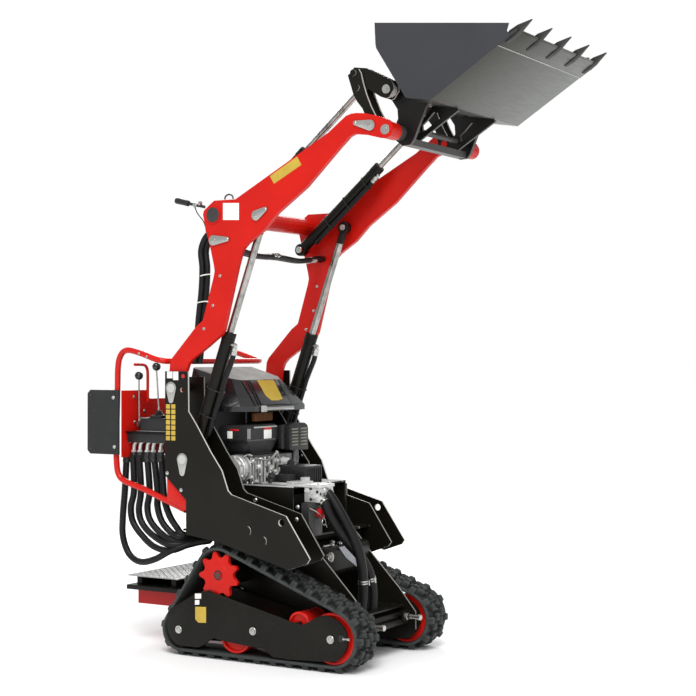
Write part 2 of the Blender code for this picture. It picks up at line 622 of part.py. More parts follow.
def flat(outline, z0, z1, holes=()):
    """A level plate from an outline in X and Y."""
    body = plate(outline, z0, z1, holes)
    turn = Matrix(((1, 0, 0, 0), (0, 0, 1, 0), (0, 1, 0, 0), (0, 0, 0, 1)))
    bm = bmesh.new()
    bm.from_mesh(body.data)
    bmesh.ops.transform(bm, matrix=turn, verts=bm.verts)
    bpy.data.objects.remove(body, do_unlink=True)
    return from_bmesh(bm)


handle = tube(smooth_path([(-0.690, -0.166, 0.990), (-0.690, -0.166, 1.115),
                           (-0.690, -0.180, 1.140), (-0.690, -0.205, 1.146),
                           (-0.690, -0.270, 1.146)], 2), 0.010)
shelf = box(-0.700, -0.4603, -0.330, 0.330, 0.864, 0.870)
node("rear_panel", "red", [upright(PANEL_YZ, -0.7031, -0.6970), handle, shelf])

WING = ((-0.850, 0.776), (-0.700, 0.776), (-0.700, 1.040), (-0.850, 1.040), (-0.865, 1.025),
        (-0.865, 0.791))
both_sides("wing", "black", lambda: [plate(WING, GUARD_Y + GUARD_R + GAP, GUARD_Y + GUARD_R + 0.008)])

valves = [box(-0.640, -0.500, -0.315, -0.245, 0.8703, 0.925), box(-0.585, -0.530, -0.305, -0.255, 0.920, 0.945),
          rod((-0.632, -0.280, 0.905), (-0.668, -0.280, 0.905), 0.018),
          rod((-0.668, -0.280, 0.900), (-0.668, -0.280, 1.080), 0.004, 10),
          rod((-0.560, -0.280, 0.935), (-0.566, -0.280, 1.118), 0.004, 10)]
for x, z in ((-0.668, 1.095), (-0.5665, 1.132)):
    ball = bmesh.new()
    bmesh.ops.create_uvsphere(ball, u_segments=10, v_segments=6, radius=0.0175)
    bmesh.ops.translate(ball, vec=(x, -0.280, z), verts=ball.verts)
    valves.append(from_bmesh(ball))
node("control_valves", "black", valves)

lower_valves = [box(-0.685, -0.475, -0.325, -0.235, 0.825, 0.8637)]
for k in range(6):
    x = -0.672 + k * 0.035
    lower_valves.append(rod((x, -0.300, 0.790), (x, -0.300, 0.830), 0.009, 12))
node("valve_bank", "black", lower_valves)

HOSE_R = 0.0125
hoses = []
for k, (x, low, out) in enumerate(((-0.700, 0.330, -0.735), (-0.668, 0.400, -0.685), (-0.633, 0.400, -0.640),
                                   (-0.598, 0.420, -0.600), (-0.563, 0.440, -0.560),
                                   (-0.528, 0.470, -0.520))):
    top = -0.672 + k * 0.035
    hoses.append(tube(smooth_path([(top, -0.300, 0.7895), (top, -0.300, 0.780), (top, -0.300, 0.740),
                                   ((top + out) / 2, -0.305, 0.600), (out, -0.305, low + 0.110),
                                   ((out - 0.50) / 2 - 0.02, -0.300, low),
                                   (-0.470, -0.285, 0.405 + k * 0.004), (-0.400, -0.245 + k * 0.006, 0.415 + k * 0.004),
                                   (-0.330, -0.210 + k * 0.002, 0.430)], 2), HOSE_R, 1))
node("rear_hoses", "rubber", hoses)

BRACKET_OUT = LEG_INSIDE - GAP
PLATFORM_HALF = 0.230
node("platform", "black", [
    box(-0.767, -0.500, -PLATFORM_HALF, PLATFORM_HALF, 0.261, 0.267),
    box(-0.772, -0.480, -PLATFORM_HALF, PLATFORM_HALF, 0.205, 0.224),
    box(-0.740, -0.715, -PLATFORM_HALF + 0.030, PLATFORM_HALF - 0.030, 0.222, 0.263),
    box(-0.560, -0.535, -PLATFORM_HALF + 0.030, PLATFORM_HALF - 0.030, 0.222, 0.263)])
node("platform_bracket", "red", [
    box(-0.756, -0.3225, -BRACKET_OUT, -BRACKET_OUT + 0.050, 0.140, 0.2047),
    box(-0.756, -0.3225, BRACKET_OUT - 0.050, BRACKET_OUT, 0.140, 0.2047),
    box(-0.430, -0.390, -BRACKET_OUT + 0.040, BRACKET_OUT - 0.040, 0.150, 0.195),
    box(-0.740, -0.700, -BRACKET_OUT + 0.040, BRACKET_OUT - 0.040, 0.150, 0.195)])

# %% Engine bay
HOOD_HALF = INNER_IN - GAP
HOOD_LOW = ((-0.440, -HOOD_HALF), (-0.330, -HOOD_HALF), (-0.306, -0.235), (-0.200, -0.200),
            (-0.160, -0.094), (-0.160, 0.210), (-0.200, 0.235), (-0.330, HOOD_HALF), (-0.440, HOOD_HALF))
HOOD_TOP = ((-0.440, -0.210), (-0.350, -0.205), (-0.335, -0.195), (-0.290, -0.165),
            (-0.260, -0.090), (-0.260, 0.180), (-0.290, 0.200), (-0.350, 0.205), (-0.440, 0.210))
HOOD_Z, HOOD_SLOPE = 1.083, 0.28          # the front edge of the hood's top, and its rise to the rear


def loft(levels):
    """A solid through rings of the same number of points. Each has its height, and may rise to the rear."""
    bm = bmesh.new()
    rings = [[bm.verts.new((x, y, level[1] + rise * (-0.26 - x))) for x, y in level[0]]
             for level in levels for rise in (level[2] if len(level) > 2 else 0.0,)]
    count = len(rings[0])
    bm.faces.new(rings[0])
    bm.faces.new(rings[-1])
    for low, high in zip(rings, rings[1:]):
        for k in range(count):
            bm.faces.new((low[k], low[(k + 1) % count], high[(k + 1) % count], high[k]))
    return from_bmesh(bm)


def shrunk(ring, share, shift=0.0):
    cx = sum(x for x, y in ring) / len(ring)
    cy = sum(y for x, y in ring) / len(ring)
    return [(cx + (x - cx) * share + shift, cy + (y - cy) * share) for x, y in ring]


node("hood", "grey",
     [loft(((HOOD_LOW, 0.955), (HOOD_LOW, 0.975), (HOOD_TOP, HOOD_Z, HOOD_SLOPE)))],
     [loft(((shrunk(HOOD_LOW, 0.965), 0.950), (shrunk(HOOD_LOW, 0.965), 0.972),
            (shrunk(HOOD_TOP, 0.965), HOOD_Z - 0.006, HOOD_SLOPE)))])

BASE = ENGINE_Z + GAP
engine = [box(-0.330, -0.120, -0.170, 0.034, BASE, 0.780),
          box(-0.310, -0.165, 0.030, 0.150, BASE, 0.765),
          box(-0.124, 0.020, -0.075, 0.045, BASE, 0.735),
          rod((-0.235, -0.165, 0.724), (-0.235, -0.215, 0.724), 0.055, 24),
          rod((-0.235, -0.210, 0.724), (-0.235, -0.225, 0.724), 0.040, 16)]
for k in range(5):
    engine.append(box(-0.318, -0.1660, 0.040 + k * 0.022, 0.046 + k * 0.022, BASE + 0.010, 0.775))
node("engine_block", "silver", engine)
node("fuel_tank", "black", [loft([
    (((x0, y0), (x1, y0), (x1, y1), (x0, y1)), z) for x0, x1, y0, y1, z in (
        (-0.285, -0.170, -0.165, -0.065, 0.7803), (-0.300, -0.160, -0.229, 0.000, 0.840),
        (-0.300, -0.160, -0.229, 0.000, 0.885), (-0.290, -0.170, -0.215, -0.010, 0.902))])])
SHIELD = [(0.030, 0.785), (0.167, 0.785), (0.167, 0.880), (0.155, 0.898), (0.130, 0.905),
          (0.067, 0.905), (0.042, 0.898), (0.030, 0.880)]
node("muffler", "black", [
    upright(SHIELD, -0.155, -0.120), rod((-0.190, 0.035, 0.845), (-0.190, 0.160, 0.845), 0.050, 20),
    tube([(-0.140, 0.100, 0.800), (-0.140, 0.100, 0.735), (-0.148, 0.100, 0.714),
          (-0.1647, 0.100, 0.714)], 0.018)])
MANIFOLD_FRONT = 0.160
node("pump_manifold", "silver", [
    box(0.010, 0.165, -0.200, -0.090, BASE, BASE + 0.012),
    box(0.090, MANIFOLD_FRONT, -0.195, -0.092, 0.6047, BASE + 0.006)])
node("switch_box", "grey", [box(0.085, 0.145, -0.210, -0.150, FLOOR_Z + PLATE_T + GAP, 0.6040)])
TANK_HALF = LEG_INSIDE - GAP
TANK = ((0.060, 0.330), (0.072, 0.315), (0.090, 0.310), (0.150, 0.310), (0.166, 0.316), (0.172, 0.332),
        (0.172, 0.408), (0.166, 0.424), (0.150, 0.430), (0.090, 0.430), (0.072, 0.425), (0.060, 0.410))
node("hydraulic_tank", "black", [plate(TANK, -TANK_HALF, TANK_HALF),
                                 rod((0.160, -0.124, 0.386), (0.186, -0.124, 0.386), 0.019, 12)])
FRONT_HOSES = (
    ("front_hose_a", ((0.1605, -0.118, 0.635), (0.176, -0.118, 0.635), (0.206, -0.118, 0.622), (0.230, -0.120, 0.585),
                      (0.255, -0.119, 0.480), (0.275, -0.102, 0.370), (0.280, -0.072, 0.270),
                      (0.280, -0.070, 0.200), (0.280, -0.070, 0.190), (0.280, -0.070, 0.1745))),
    ("front_hose_b", ((0.1605, -0.165, 0.630), (0.176, -0.165, 0.630), (0.193, -0.163, 0.610), (0.202, -0.158, 0.560),
                      (0.205, -0.128, 0.470), (0.215, -0.080, 0.370), (0.262, -0.010, 0.270),
                      (0.280, 0.013, 0.200), (0.280, 0.013, 0.190), (0.280, 0.013, 0.1745))))
for name, route in FRONT_HOSES:
    node(name, "rubber", [tube([route[0], *smooth_path(route[1:-1], 3), route[-1]], 0.021)])

# %% Hoses along the arms
def arm_hose():
    return [tube(smooth_path([
        (-0.345 + dx, y, 1.150), (-0.325 + dx, y, 1.240), (-0.306 + dx, y, 1.330),
        (-0.286 + dx, y, 1.440), (-0.284 + dx, y, 1.530), (-0.292 + dx, y, 1.600),
        (-0.272 + dx, y, 1.655), (-0.235 + dx, y, 1.685)], 1), 0.011)
        for dx, y in ((0.0, ARM_IN - 0.0115), (0.016, ARM_IN - 0.0230))]


both_sides("arm_hose", "rubber", arm_hose)

# %% The origin goes on the ground, under the middle of the whole box
for part in parts.objects:
    part.location.x -= MID_X
    part.location.z -= GROUND
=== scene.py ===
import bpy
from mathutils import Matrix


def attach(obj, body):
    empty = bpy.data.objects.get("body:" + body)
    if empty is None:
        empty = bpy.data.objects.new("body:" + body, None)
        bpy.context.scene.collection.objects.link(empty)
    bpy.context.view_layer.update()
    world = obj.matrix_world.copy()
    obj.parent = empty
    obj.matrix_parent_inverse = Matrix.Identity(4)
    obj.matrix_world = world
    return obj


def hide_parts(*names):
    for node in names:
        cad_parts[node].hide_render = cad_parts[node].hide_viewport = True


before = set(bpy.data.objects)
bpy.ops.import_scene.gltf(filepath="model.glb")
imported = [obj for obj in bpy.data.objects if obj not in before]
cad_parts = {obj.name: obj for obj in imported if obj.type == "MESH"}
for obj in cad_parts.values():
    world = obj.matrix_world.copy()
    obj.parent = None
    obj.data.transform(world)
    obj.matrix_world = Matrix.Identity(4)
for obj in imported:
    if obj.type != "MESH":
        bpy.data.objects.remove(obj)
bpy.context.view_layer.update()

# %% [markdown]
# # A mini skid steer loader, from solid parts to a studio picture
# The solid parts are loaded above, each as one object with its own name. This lesson gives each of
# them a finish, adds the small things that a solid model leaves out, and sets the camera where the
# photographer stood. Lengths are metres, Z is up, and the loader's front is at +X.

# %% What was loaded
import math

import bmesh
import bpy
from mathutils import Matrix, Vector

NODES = {o.name: o for o in bpy.data.objects if o.type == "MESH"}

# %% [markdown]
# ## Camera
# The camera's place, turn and lens were measured from the photo. It stands almost level with the
# middle of the loader, looks up by less than half a degree, and sees the front right corner.

# %% Camera
CAMERA_AT = (3.2577, -5.3339, 1.1821)
CAMERA_TURN = (90.405, 0, 31.1268)
LENS_MM, SENSOR_MM = 80.49, 36


def stand_camera():
    camera = bpy.data.objects.new("camera", bpy.data.cameras.new("camera"))
    bpy.context.scene.collection.objects.link(camera)
    camera.location = CAMERA_AT
    camera.rotation_euler = [math.radians(angle) for angle in CAMERA_TURN]
    camera.data.lens, camera.data.sensor_width = LENS_MM, SENSOR_MM
    bpy.context.scene.camera = camera
    return camera


print("camera at", tuple(stand_camera().location))

# %% [markdown]
# ## Colours and nodes
# Paint makers give colours as hex codes in sRGB, while shaders work in linear light, so one function
# turns the one into the other. A second function adds any shader node with its settings and links,
# which keeps the recipes below short.

# %% Colours and nodes
def linear(code):
    """A linear RGBA colour from an sRGB hex code."""
    values = [int(code[k:k + 2], 16) / 255 for k in (0, 2, 4)]
    return (*[v / 12.92 if v <= 0.04045 else ((v + 0.055) / 1.055) ** 2.4 for v in values], 1.0)


def feed(tree, socket, value):
    """Sets a socket to a number or a hex colour, or links another node's output to it."""
    if isinstance(value, bpy.types.NodeSocket):
        tree.links.new(value, socket)
    else:
        socket.default_value = linear(value) if isinstance(value, str) else value


def add(tree, kind, sockets=(), **properties):
    """A shader node with its properties, and with what its sockets are fed."""
    node = tree.nodes.new("ShaderNode" + kind)
    for key, value in properties.items():
        setattr(node, key, value)
    for key, value in dict(sockets).items():
        feed(tree, node.inputs[key], value)
    return node


def noise(tree, place, size_mm, detail, rough=0.5):
    """Noise with patches of about this size."""
    return add(tree, "TexNoise", {"Scale": 1000 / size_mm, "Detail": detail, "Roughness": rough,
                                  "Vector": place}).outputs["Fac"]


def ramp(tree, value, start, end, low=0.0, high=1.0):
    """Values from start to end, turned into values from low to high."""
    return add(tree, "MapRange", {"From Min": start, "From Max": end, "To Min": low, "To Max": high,
                                  "Value": value}).outputs[0]


def calc(tree, operation, *values):
    return add(tree, "Math", enumerate(values), operation=operation).outputs[0]


def mix(tree, share, first, second):
    return add(tree, "Mix", {"Factor": share, 6: first, 7: second}, data_type="RGBA").outputs[2]


def parts_of(tree, vector):
    """The X, Y and Z of a vector."""
    return add(tree, "SeparateXYZ", {0: vector}).outputs


def blank(name):
    """A new material with its tree, its shader and the place on the object, in metres."""
    made = bpy.data.materials.new(name)
    made.use_nodes = True
    tree = made.node_tree
    return made, tree, tree.nodes["Principled BSDF"], add(tree, "TexCoord").outputs["Object"]


def sideways(tree):
    """How squarely the surface faces the machine's left or right."""
    return calc(tree, "ABSOLUTE", parts_of(tree, add(tree, "TexCoord").outputs["Normal"])["Y"])


def finish(tree, shader, colour, dull, relief, height, deep=0.0006):
    """Gives the shader its colour, its roughness and its fine relief."""
    bump = add(tree, "Bump", {"Strength": relief, "Distance": deep, "Height": height})
    for key, output in (("Base Color", colour), ("Roughness", dull), ("Normal", bump.outputs[0])):
        tree.links.new(output, shader.inputs[key])


print("red paint in linear light:", [round(v, 3) for v in linear("C8180D")])

# %% [markdown]
# ## Painted steel
# The plates and arms are powder-coated steel: dry paint is baked on, which leaves a slightly waxy
# skin called orange peel. The real peel is about 1 mm wide and can't show at this distance, so it is
# drawn at 5 mm and very shallow. A slow cloud of lighter paint and some dust near the ground keep
# the colour from looking flat. Upright plates face sideways, so where the surface faces any other
# way it is a plate's narrow edge. There a near-white painted highlight stands in for the light the
# edge catches, and `edge` says how much lighter it looks. Where a part has tubes too, `bands` names
# how far out its plates stand, and only they get the painted edge highlight. Pins that reach further
# out than `pins` are left as bright steel.

# %% Painted steel
PEEL, DUST, EDGE_HIGHLIGHT_PAINT, PIN_STEEL = 0.10, "6E675C", "E4E1DC", "B9BAB6"
NEVER = 9.0


def powder_coat(name, code, cloud_code, rough, dust=0.0, edge=0.0, shine=0.5, pins=NEVER, bands=()):
    made, tree, shader, place = blank(name)
    shader.inputs["Specular IOR Level"].default_value = shine
    coat = mix(tree, ramp(tree, noise(tree, place, 180, 4), 0.35, 0.70), code, cloud_code)
    spot, specks = parts_of(tree, place), noise(tree, place, 9, 6, 0.7)
    low = ramp(tree, spot["Z"], 0.55, 0.02, high=dust)
    dusty = mix(tree, calc(tree, "MULTIPLY", low, ramp(tree, specks, 0.45, 0.75)), coat, DUST)
    # Painted highlight: on a plate's narrow edge the colour is mixed towards near-white by `edge`, as if the
    # edge caught the light.
    rim, out = ramp(tree, sideways(tree), 0.92, 0.55, high=edge), calc(tree, "ABSOLUTE", spot["Y"])
    if bands:
        near = [calc(tree, "COMPARE", out, y, 0.0046) for y in bands]
        rim = calc(tree, "MULTIPLY", rim, calc(tree, "MAXIMUM", *near))
    colour = mix(tree, rim, dusty, EDGE_HIGHLIGHT_PAINT)
    colour = mix(tree, calc(tree, "GREATER_THAN", out, pins), colour, PIN_STEEL)
    finish(tree, shader, colour, ramp(tree, specks, 0, 1, rough - 0.04, rough + 0.10), PEEL,
           noise(tree, place, 5, 2))
    return made


RED = powder_coat("red powder coat", "C8180D", "BC140B", 0.32, 0.06, shine=0.22)
BLACK = powder_coat("black powder coat", "0D0C08", "14120D", 0.34, 0.05, shine=0.2)
# In the next three coats the number after the dust is `edge`: how strongly a painted highlight lightens
# their plates' narrow edges.
BLACK_PLATE = powder_coat("black coat on plates", "100E09", "16140F", 0.34, 0.05, 0.75, 0.2)
FRAME_PLATE = powder_coat("black coat on the chassis", "0D0C08", "13110C", 0.34, 0.06, 0.30, 0.25,
                          pins=0.3725, bands=(0.262, 0.176))
COUPLER_COAT = powder_coat("black coat on the coupler", "0E0D0C", "151412", 0.36, 0.0, 0.07, 0.35)
DARK_GREY = powder_coat("grey powder coat", "2B2B2B", "343433", 0.42)
TUBE_RED = powder_coat("glossy red coat", "C8180D", "BC140B", 0.24, shine=0.3)
BRACKET_RED = powder_coat("shaded red coat", "B4110F", "A60F0D", 0.36, 0.10, shine=0.3)
print("painted finishes: 8")

# %% [markdown]
# ## Bare and plated metal
# The bucket's underside is mild steel that soil has scoured bright, with long scratches across its
# lip. Cylinder rods are hard chrome, bolts are zinc-plated, and the engine's case is sand-cast
# aluminium with a grainy skin. Each metal keeps the default IOR, and its look comes from its colour,
# its roughness and how these change over the surface.

# %% Bare and plated metal
def metal(name, code, cloud_code, rough, spread, grain_mm, relief, stretch=(1, 1, 1), metallic=1.0):
    made, tree, shader, place = blank(name)
    drawn = add(tree, "Mapping", {"Scale": stretch, "Vector": place}).outputs[0]
    grain = noise(tree, drawn, grain_mm, 8, 0.62)
    both = calc(tree, "MULTIPLY", grain, noise(tree, place, grain_mm * 14, 3))
    finish(tree, shader, mix(tree, ramp(tree, both, 0.12, 0.42), code, cloud_code),
           ramp(tree, grain, 0, 1, rough - spread, rough + spread), relief, grain)
    shader.inputs["Metallic"].default_value = metallic
    return made


def bucket_steel():
    """Grey paint on the bucket's sides, and steel scoured by soil on every other face.

    The steel turns from olive to bright across the bucket, as it does in the light of the photo.
    """
    made, tree, shader, place = blank("bucket steel")
    side = ramp(tree, sideways(tree), 0.55, 0.75)
    steel = mix(tree, ramp(tree, parts_of(tree, place)["Y"], -0.36, 0.36), "2B2B24", "828481")
    drawn = add(tree, "Mapping", {"Scale": (1, 0.08, 1), "Vector": place}).outputs[0]
    scratch = noise(tree, drawn, 7, 8, 0.65)
    worn = mix(tree, ramp(tree, scratch, 0.35, 0.7, high=0.22), steel, "4E4D46")
    paint = mix(tree, noise(tree, place, 150, 4), "292A2E", "35363B")
    finish(tree, shader, mix(tree, side, worn, paint), ramp(tree, scratch, 0, 1, 0.34, 0.56), 0.12, scratch)
    tree.links.new(ramp(tree, side, 0, 1, 0.72, 0.0), shader.inputs["Metallic"])
    return made


BUCKET_STEEL = bucket_steel()
SCOURED = metal("scoured mild steel", "8F8E84", "6E6C62", 0.46, 0.14, 6, 0.12, (1, 0.12, 1), 0.75)
# The chrome's second, darker colour is stretched into long upright streaks: painted reflections of the dark
# surroundings along the rods.
CHROME = metal("hard chrome", "B9B7B3", "5E5C59", 0.16, 0.06, 5, 0.04, (1, 1, 0.02))
ZINC = metal("zinc-plated steel", "C9CAC6", "A9AAA6", 0.30, 0.10, 5, 0.10)
CAST = metal("sand-cast aluminium", "7C7D7C", "3E3E3D", 0.52, 0.14, 4, 0.45, metallic=0.85)
SCORCHED = metal("heat-darkened steel", "5A5853", "47443F", 0.50, 0.12, 7, 0.20, metallic=0.8)
BRIGHT_CAST = metal("machined aluminium", "E4E5E2", "B9BAB8", 0.36, 0.12, 4, 0.25, metallic=0.55)
SHIELD_STEEL = metal("pressed shield steel", "3C3D3C", "2C2D2C", 0.42, 0.10, 6, 0.15, metallic=0.7)
TOOTH_STEEL = metal("cast tooth steel", "3A3937", "282725", 0.48, 0.12, 4, 0.35, metallic=0.7)
CHECKER = metal("galvanized checker plate", "B4B5B3", "8F908E", 0.42, 0.10, 8, 0.10, metallic=0.5)
# The next finish is a pale grey skin laid on the oil tank's black face: a painted reflection of the sky.
PAINTED_SKY_REFLECTION = metal("bright tank side", "A7A9AF", "8E9097", 0.40, 0.08, 9, 0.05, metallic=0.7)
print("metal finishes: 11")

# %% [markdown]
# ## Rubber and plastic
# The belts are moulded rubber: the crests of the tread are worn grey, and its grooves stay black,
# which the shader tells apart by how sharply the surface bends outwards. Hoses are rubber over wire
# braid, with a fine wrapped texture. The hood and the engine's covers are moulded ABS: glossy where
# the mould was polished, and grained elsewhere.

# %% Rubber and plastic
def moulded(name, code, cloud_code, rough, grain_mm, relief, gloss=0.0, cloud_mm=60, worn=False, shine=0.5):
    made, tree, shader, place = blank(name)
    shader.inputs["Specular IOR Level"].default_value = shine
    shader.inputs["Coat Weight"].default_value = gloss
    share = ramp(tree, noise(tree, place, cloud_mm, 5, 0.65), 0.38, 0.68)
    if worn:
        crest = ramp(tree, add(tree, "NewGeometry").outputs["Pointiness"], 0.49, 0.56)
        share = calc(tree, "MULTIPLY", calc(tree, "MULTIPLY_ADD", share, 0.25, crest), 0.75)
    grain = noise(tree, place, grain_mm, 6)
    finish(tree, shader, mix(tree, share, code, cloud_code),
           ramp(tree, grain, 0, 1, rough - 0.06, rough + 0.08), relief, grain, deep=0.001)
    return made


BELT_RUBBER = moulded("belt rubber", "0A0B0B", "434746", 0.60, 4, 0.35, cloud_mm=22, worn=True, shine=0.25)
HOSE_RUBBER = moulded("hose rubber", "0E0E0E", "161616", 0.42, 3, 0.16, shine=0.25)
GLOSS_ABS = moulded("black gloss ABS", "131416", "1D1E20", 0.24, 30, 0.02, 0.4)
GREY_ABS = moulded("light grey ABS", "ABACA8", "9C9D99", 0.40, 5, 0.08)
COVER_ABS = moulded("dull grey ABS", "B2B4B1", "9FA19E", 0.85, 5, 0.08, shine=0.05)
GRAINED = moulded("black grained plastic", "111213", "1A1B1C", 0.50, 3, 0.20)
STICKER_WHITE = moulded("blank white label", "ECECE8", "E2E2DE", 0.40, 8, 0.02)
STICKER_YELLOW = moulded("blank yellow label", "C4A63C", "B59832", 0.42, 8, 0.02)
# The satin grey below is laid on one facet of the black hood as a painted reflection.
PAINTED_FACET_REFLECTION = moulded("satin grey ABS", "3A3D3F", "434648", 0.34, 12, 0.04, 0.2)
FILTER_PAPER = moulded("oiled air filter", "6B3E16", "50300F", 0.70, 4, 0.30)
LENS_RED = moulded("red plastic", "C4161B", "B01216", 0.35, 6, 0.04)
print("moulded finishes: 11")

# %% [markdown]
# ## Tools for the small pieces
# Every small piece is drawn into one open mesh by a few tools: a turned shape, a swept tube, a block
# and a slab with eased edges. `piece` then makes the mesh an object, gives it its finish, lets it
# ride on its part of the machine and clears the open mesh. Lengths from here on are millimetres, as
# on a drawing, with the zero of the solid parts' tables. Lists of points are written as text: commas
# part the numbers of a point, and spaces part the points. A profile's points are (distance along
# the axis, radius).

# %% Tools for the small pieces
TABLE_ZERO, METRES_PER_MM = (-0.1356, 0.0, 0.015), 0.001
METRES = Matrix.Translation(TABLE_ZERO) @ Matrix.Scale(METRES_PER_MM, 4)
SIDES = (("left", 1), ("right", -1))
bm = bmesh.new()


def points(text):
    return [tuple(map(float, point.split(","))) for point in text.split()]


def listed(shape):
    return points(shape) if isinstance(shape, str) else shape


def circle(sides):
    return [2 * math.pi * k / sides for k in range(sides)]


def band(low, high):
    """A band of faces between two rings of vertices."""
    return [bm.faces.new((low[k - 1], low[k], high[k], high[k - 1])) for k in range(len(low))]


def skin(rings):
    """The faces of a closed skin over rings of places."""
    rings = [[bm.verts.new(place) for place in ring] for ring in rings]
    faces = [bm.faces.new(rings[0][::-1]), bm.faces.new(rings[-1])]
    return faces + [face for low, high in zip(rings, rings[1:]) for face in band(low, high)]


def soften(faces, offset, segments=2, profile=0.6, least=-1.0):
    """Rounds the edges of some faces that bend by more than the least angle."""
    edges = [e for e in {e for f in faces for e in f.edges} if e.calc_face_angle(0) > least]
    return bmesh.ops.bevel(bm, geom=edges, offset=offset, segments=segments, affect="EDGES",
                           profile=profile, clamp_overlap=True)


def turned(axis, profile, sides=24):
    """A shape turned about an axis, which is given by its start and a point further along."""
    start, end = map(Vector, listed(axis))
    turn = (end - start).to_track_quat("Z", "Y").to_matrix()
    skin([[start + turn @ Vector((radius * math.cos(a), radius * math.sin(a), along)) for a in circle(sides)]
          for along, radius in listed(profile)])


def stud(x, z, y, way, profile, sides=24):
    """A turned shape that starts at a place and points sideways: way is 1 for left, -1 for right."""
    turned(((x, y, z), (x, y + way, z)), profile, sides)


def curve_through(path, steps=6):
    """Points along a smooth curve through the given ones."""
    path = [Vector(p) for p in listed(path)]
    ends = [2 * path[0] - path[1]] + path + [2 * path[-1] - path[-2]]
    curve = []
    for a, b, c, d in zip(ends, ends[1:], ends[2:], ends[3:]):
        for t in (step / steps for step in range(steps)):
            curve.append(0.5 * (2 * b + (c - a) * t + (2 * a - 5 * b + 4 * c - d) * t * t
                                + (3 * b - a - 3 * c + d) * t ** 3))
    return curve + [path[-1]]


def swept(path, radius, sides=12):
    """A round tube along a path, kept from twisting."""
    path = [Vector(p) for p in listed(path)]
    side, rings = None, []
    for k, point in enumerate(path):
        ahead = (path[min(k + 1, len(path) - 1)] - path[max(k - 1, 0)]).normalized()
        side = side or ahead.orthogonal().normalized()
        side = (side - ahead * side.dot(ahead)).normalized()
        other = ahead.cross(side)
        rings.append([point + radius * (math.cos(a) * side + math.sin(a) * other) for a in circle(sides)])
    skin(rings)


def bent(path, radius, sides, steps):
    """A round tube along a smooth curve."""
    swept(curve_through(path, steps), radius, sides)


def slab(outline, y0, y1, ease=1.2, turn=None):
    """A flat plate from an outline in X and Z between two values of Y, with eased edges."""
    ring = [Vector((x, 0, z)) for x, z in listed(outline)]
    if sum(a.x * b.z - b.x * a.z for a, b in zip(ring, ring[1:] + ring[:1])) > 0:
        ring.reverse()
    old = set(bm.verts)
    soften(skin([[p + Vector((0, y, 0)) for p in ring] for y in (min(y0, y1), max(y0, y1))]), ease)
    if turn is not None:
        bmesh.ops.transform(bm, matrix=turn, verts=[v for v in bm.verts if v not in old])


def upright(outline, x0, x1, ease=1):
    """A flat plate from an outline in Y and Z, between two values of X."""
    slab(outline, x0, x1, ease, Matrix(((0, 1, 0, 0), (1, 0, 0, 0), (0, 0, 1, 0), (0, 0, 0, 1))))


def block(corners, ease=2):
    """A block between two opposite corners."""
    (x0, y0, z0), (x1, y1, z1) = listed(corners)
    slab(((x0, z0), (x1, z0), (x1, z1), (x0, z1)), y0, y1, ease)


def piece(name, look, body, slot, *nodes, angle=35):
    """The finished piece: shaded smooth but for its corners, and riding on its body."""
    bm.transform(METRES)
    bmesh.ops.recalc_face_normals(bm, faces=bm.faces)
    data = bpy.data.meshes.new(name)
    bm.to_mesh(data)
    bm.clear()
    data.polygons.foreach_set("use_smooth", [True] * len(data.polygons))
    data.set_sharp_from_angle(angle=math.radians(angle))
    data.materials.append(look)
    made = bpy.data.objects.new(name, data)
    bpy.context.scene.collection.objects.link(made)
    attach(made, body)
    if nodes:
        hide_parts(*nodes)
    return made


print("tools ready")

# %% [markdown]
# ## Places that come from the solid parts
# The pins, wheels and plate faces have the same places here as in the solid model, so that each
# piece sits where its part is.

# %% Places
PLATE_OUT, ARM_OUT, HEAD_OUT, LIFT_Y, TILT_Y = 372, 355, 358, 302, 285
BELT_OUT, BELT_IN, LEG_OUT = 361.5, 201.5, 180
FRAME_OUT, WHEEL_IN, WHEEL_OUT = BELT_OUT + 2, BELT_IN + 15.5, BELT_OUT - 13
ARM_PIVOT, LIFT_BASE, LIFT_TOP = points("-429,1051 -373,767 -27,1724")
TILT_BASE, ELBOW, ROD_PIN = points("-232,1635 -235,1736 405,2185")
COUPLER_PIN, HINGE = points("525,2172 548,2014")
BELT_T, LUG, LUGS = 12, 17, 30
REAR_WHEEL, SPROCKET, FRONT_WHEEL = points("-398,86.3 -211.7,316.2 314,113.6")
TRACK_WHEELS = ((*REAR_WHEEL, 101.3), (*SPROCKET, 126.5), (*FRONT_WHEEL, 128.6))
ROLLERS = (("rear_idler", REAR_WHEEL, 69.7), ("front_idler", FRONT_WHEEL, 97.8),
           ("lower_roller", (-131.7, 90), 74), ("upper_roller", (164.2, 157), 47))


def beside(a, b, distance, y, aside=0):
    """A point on the line from a to b, or to one side of it."""
    length = math.dist(a, b)
    dx, dz = (b[0] - a[0]) / length, (b[1] - a[1]) / length
    return a[0] + dx * distance + aside * dz, y, a[1] + dz * distance - aside * dx


print("places ready")

# %% [markdown]
# ## Belts
# A rubber belt is moulded in one piece: a smooth carcass with a plain band along each edge, and
# a tread of staggered blocks. The blocks nearly touch, so that they read as sinuous rows across
# the belt. A height over the belt's own surface draws them best. One pitch of 71 mm is worked out
# once, then laid round the three wheels thirty times.

# %% Belts
def wrapped(wheels, inset):
    """A belt's path round three wheels, as straight runs and arcs."""
    centres, radii = [w[:2] for w in wheels], [w[2] - inset for w in wheels]
    ends = []
    for k in range(3):
        c, r, d, q = centres[k], radii[k], centres[(k + 1) % 3], radii[(k + 1) % 3]
        normal = math.atan2(d[1] - c[1], d[0] - c[0]) + math.pi / 2 + math.asin((q - r) / math.dist(c, d))
        ends.append((normal, [(p[0] + s * math.cos(normal), p[1] + s * math.sin(normal))
                              for p, s in ((c, r), (d, q))]))
    runs = []
    for k, (normal, (start, finish)) in enumerate(ends):
        after = (k + 1) % 3
        runs.append((math.dist(start, finish), start, normal - math.pi / 2, None))
        turn = (normal - ends[after][0]) % (2 * math.pi)
        runs.append((radii[after] * turn, centres[after], normal, radii[after]))
    return runs


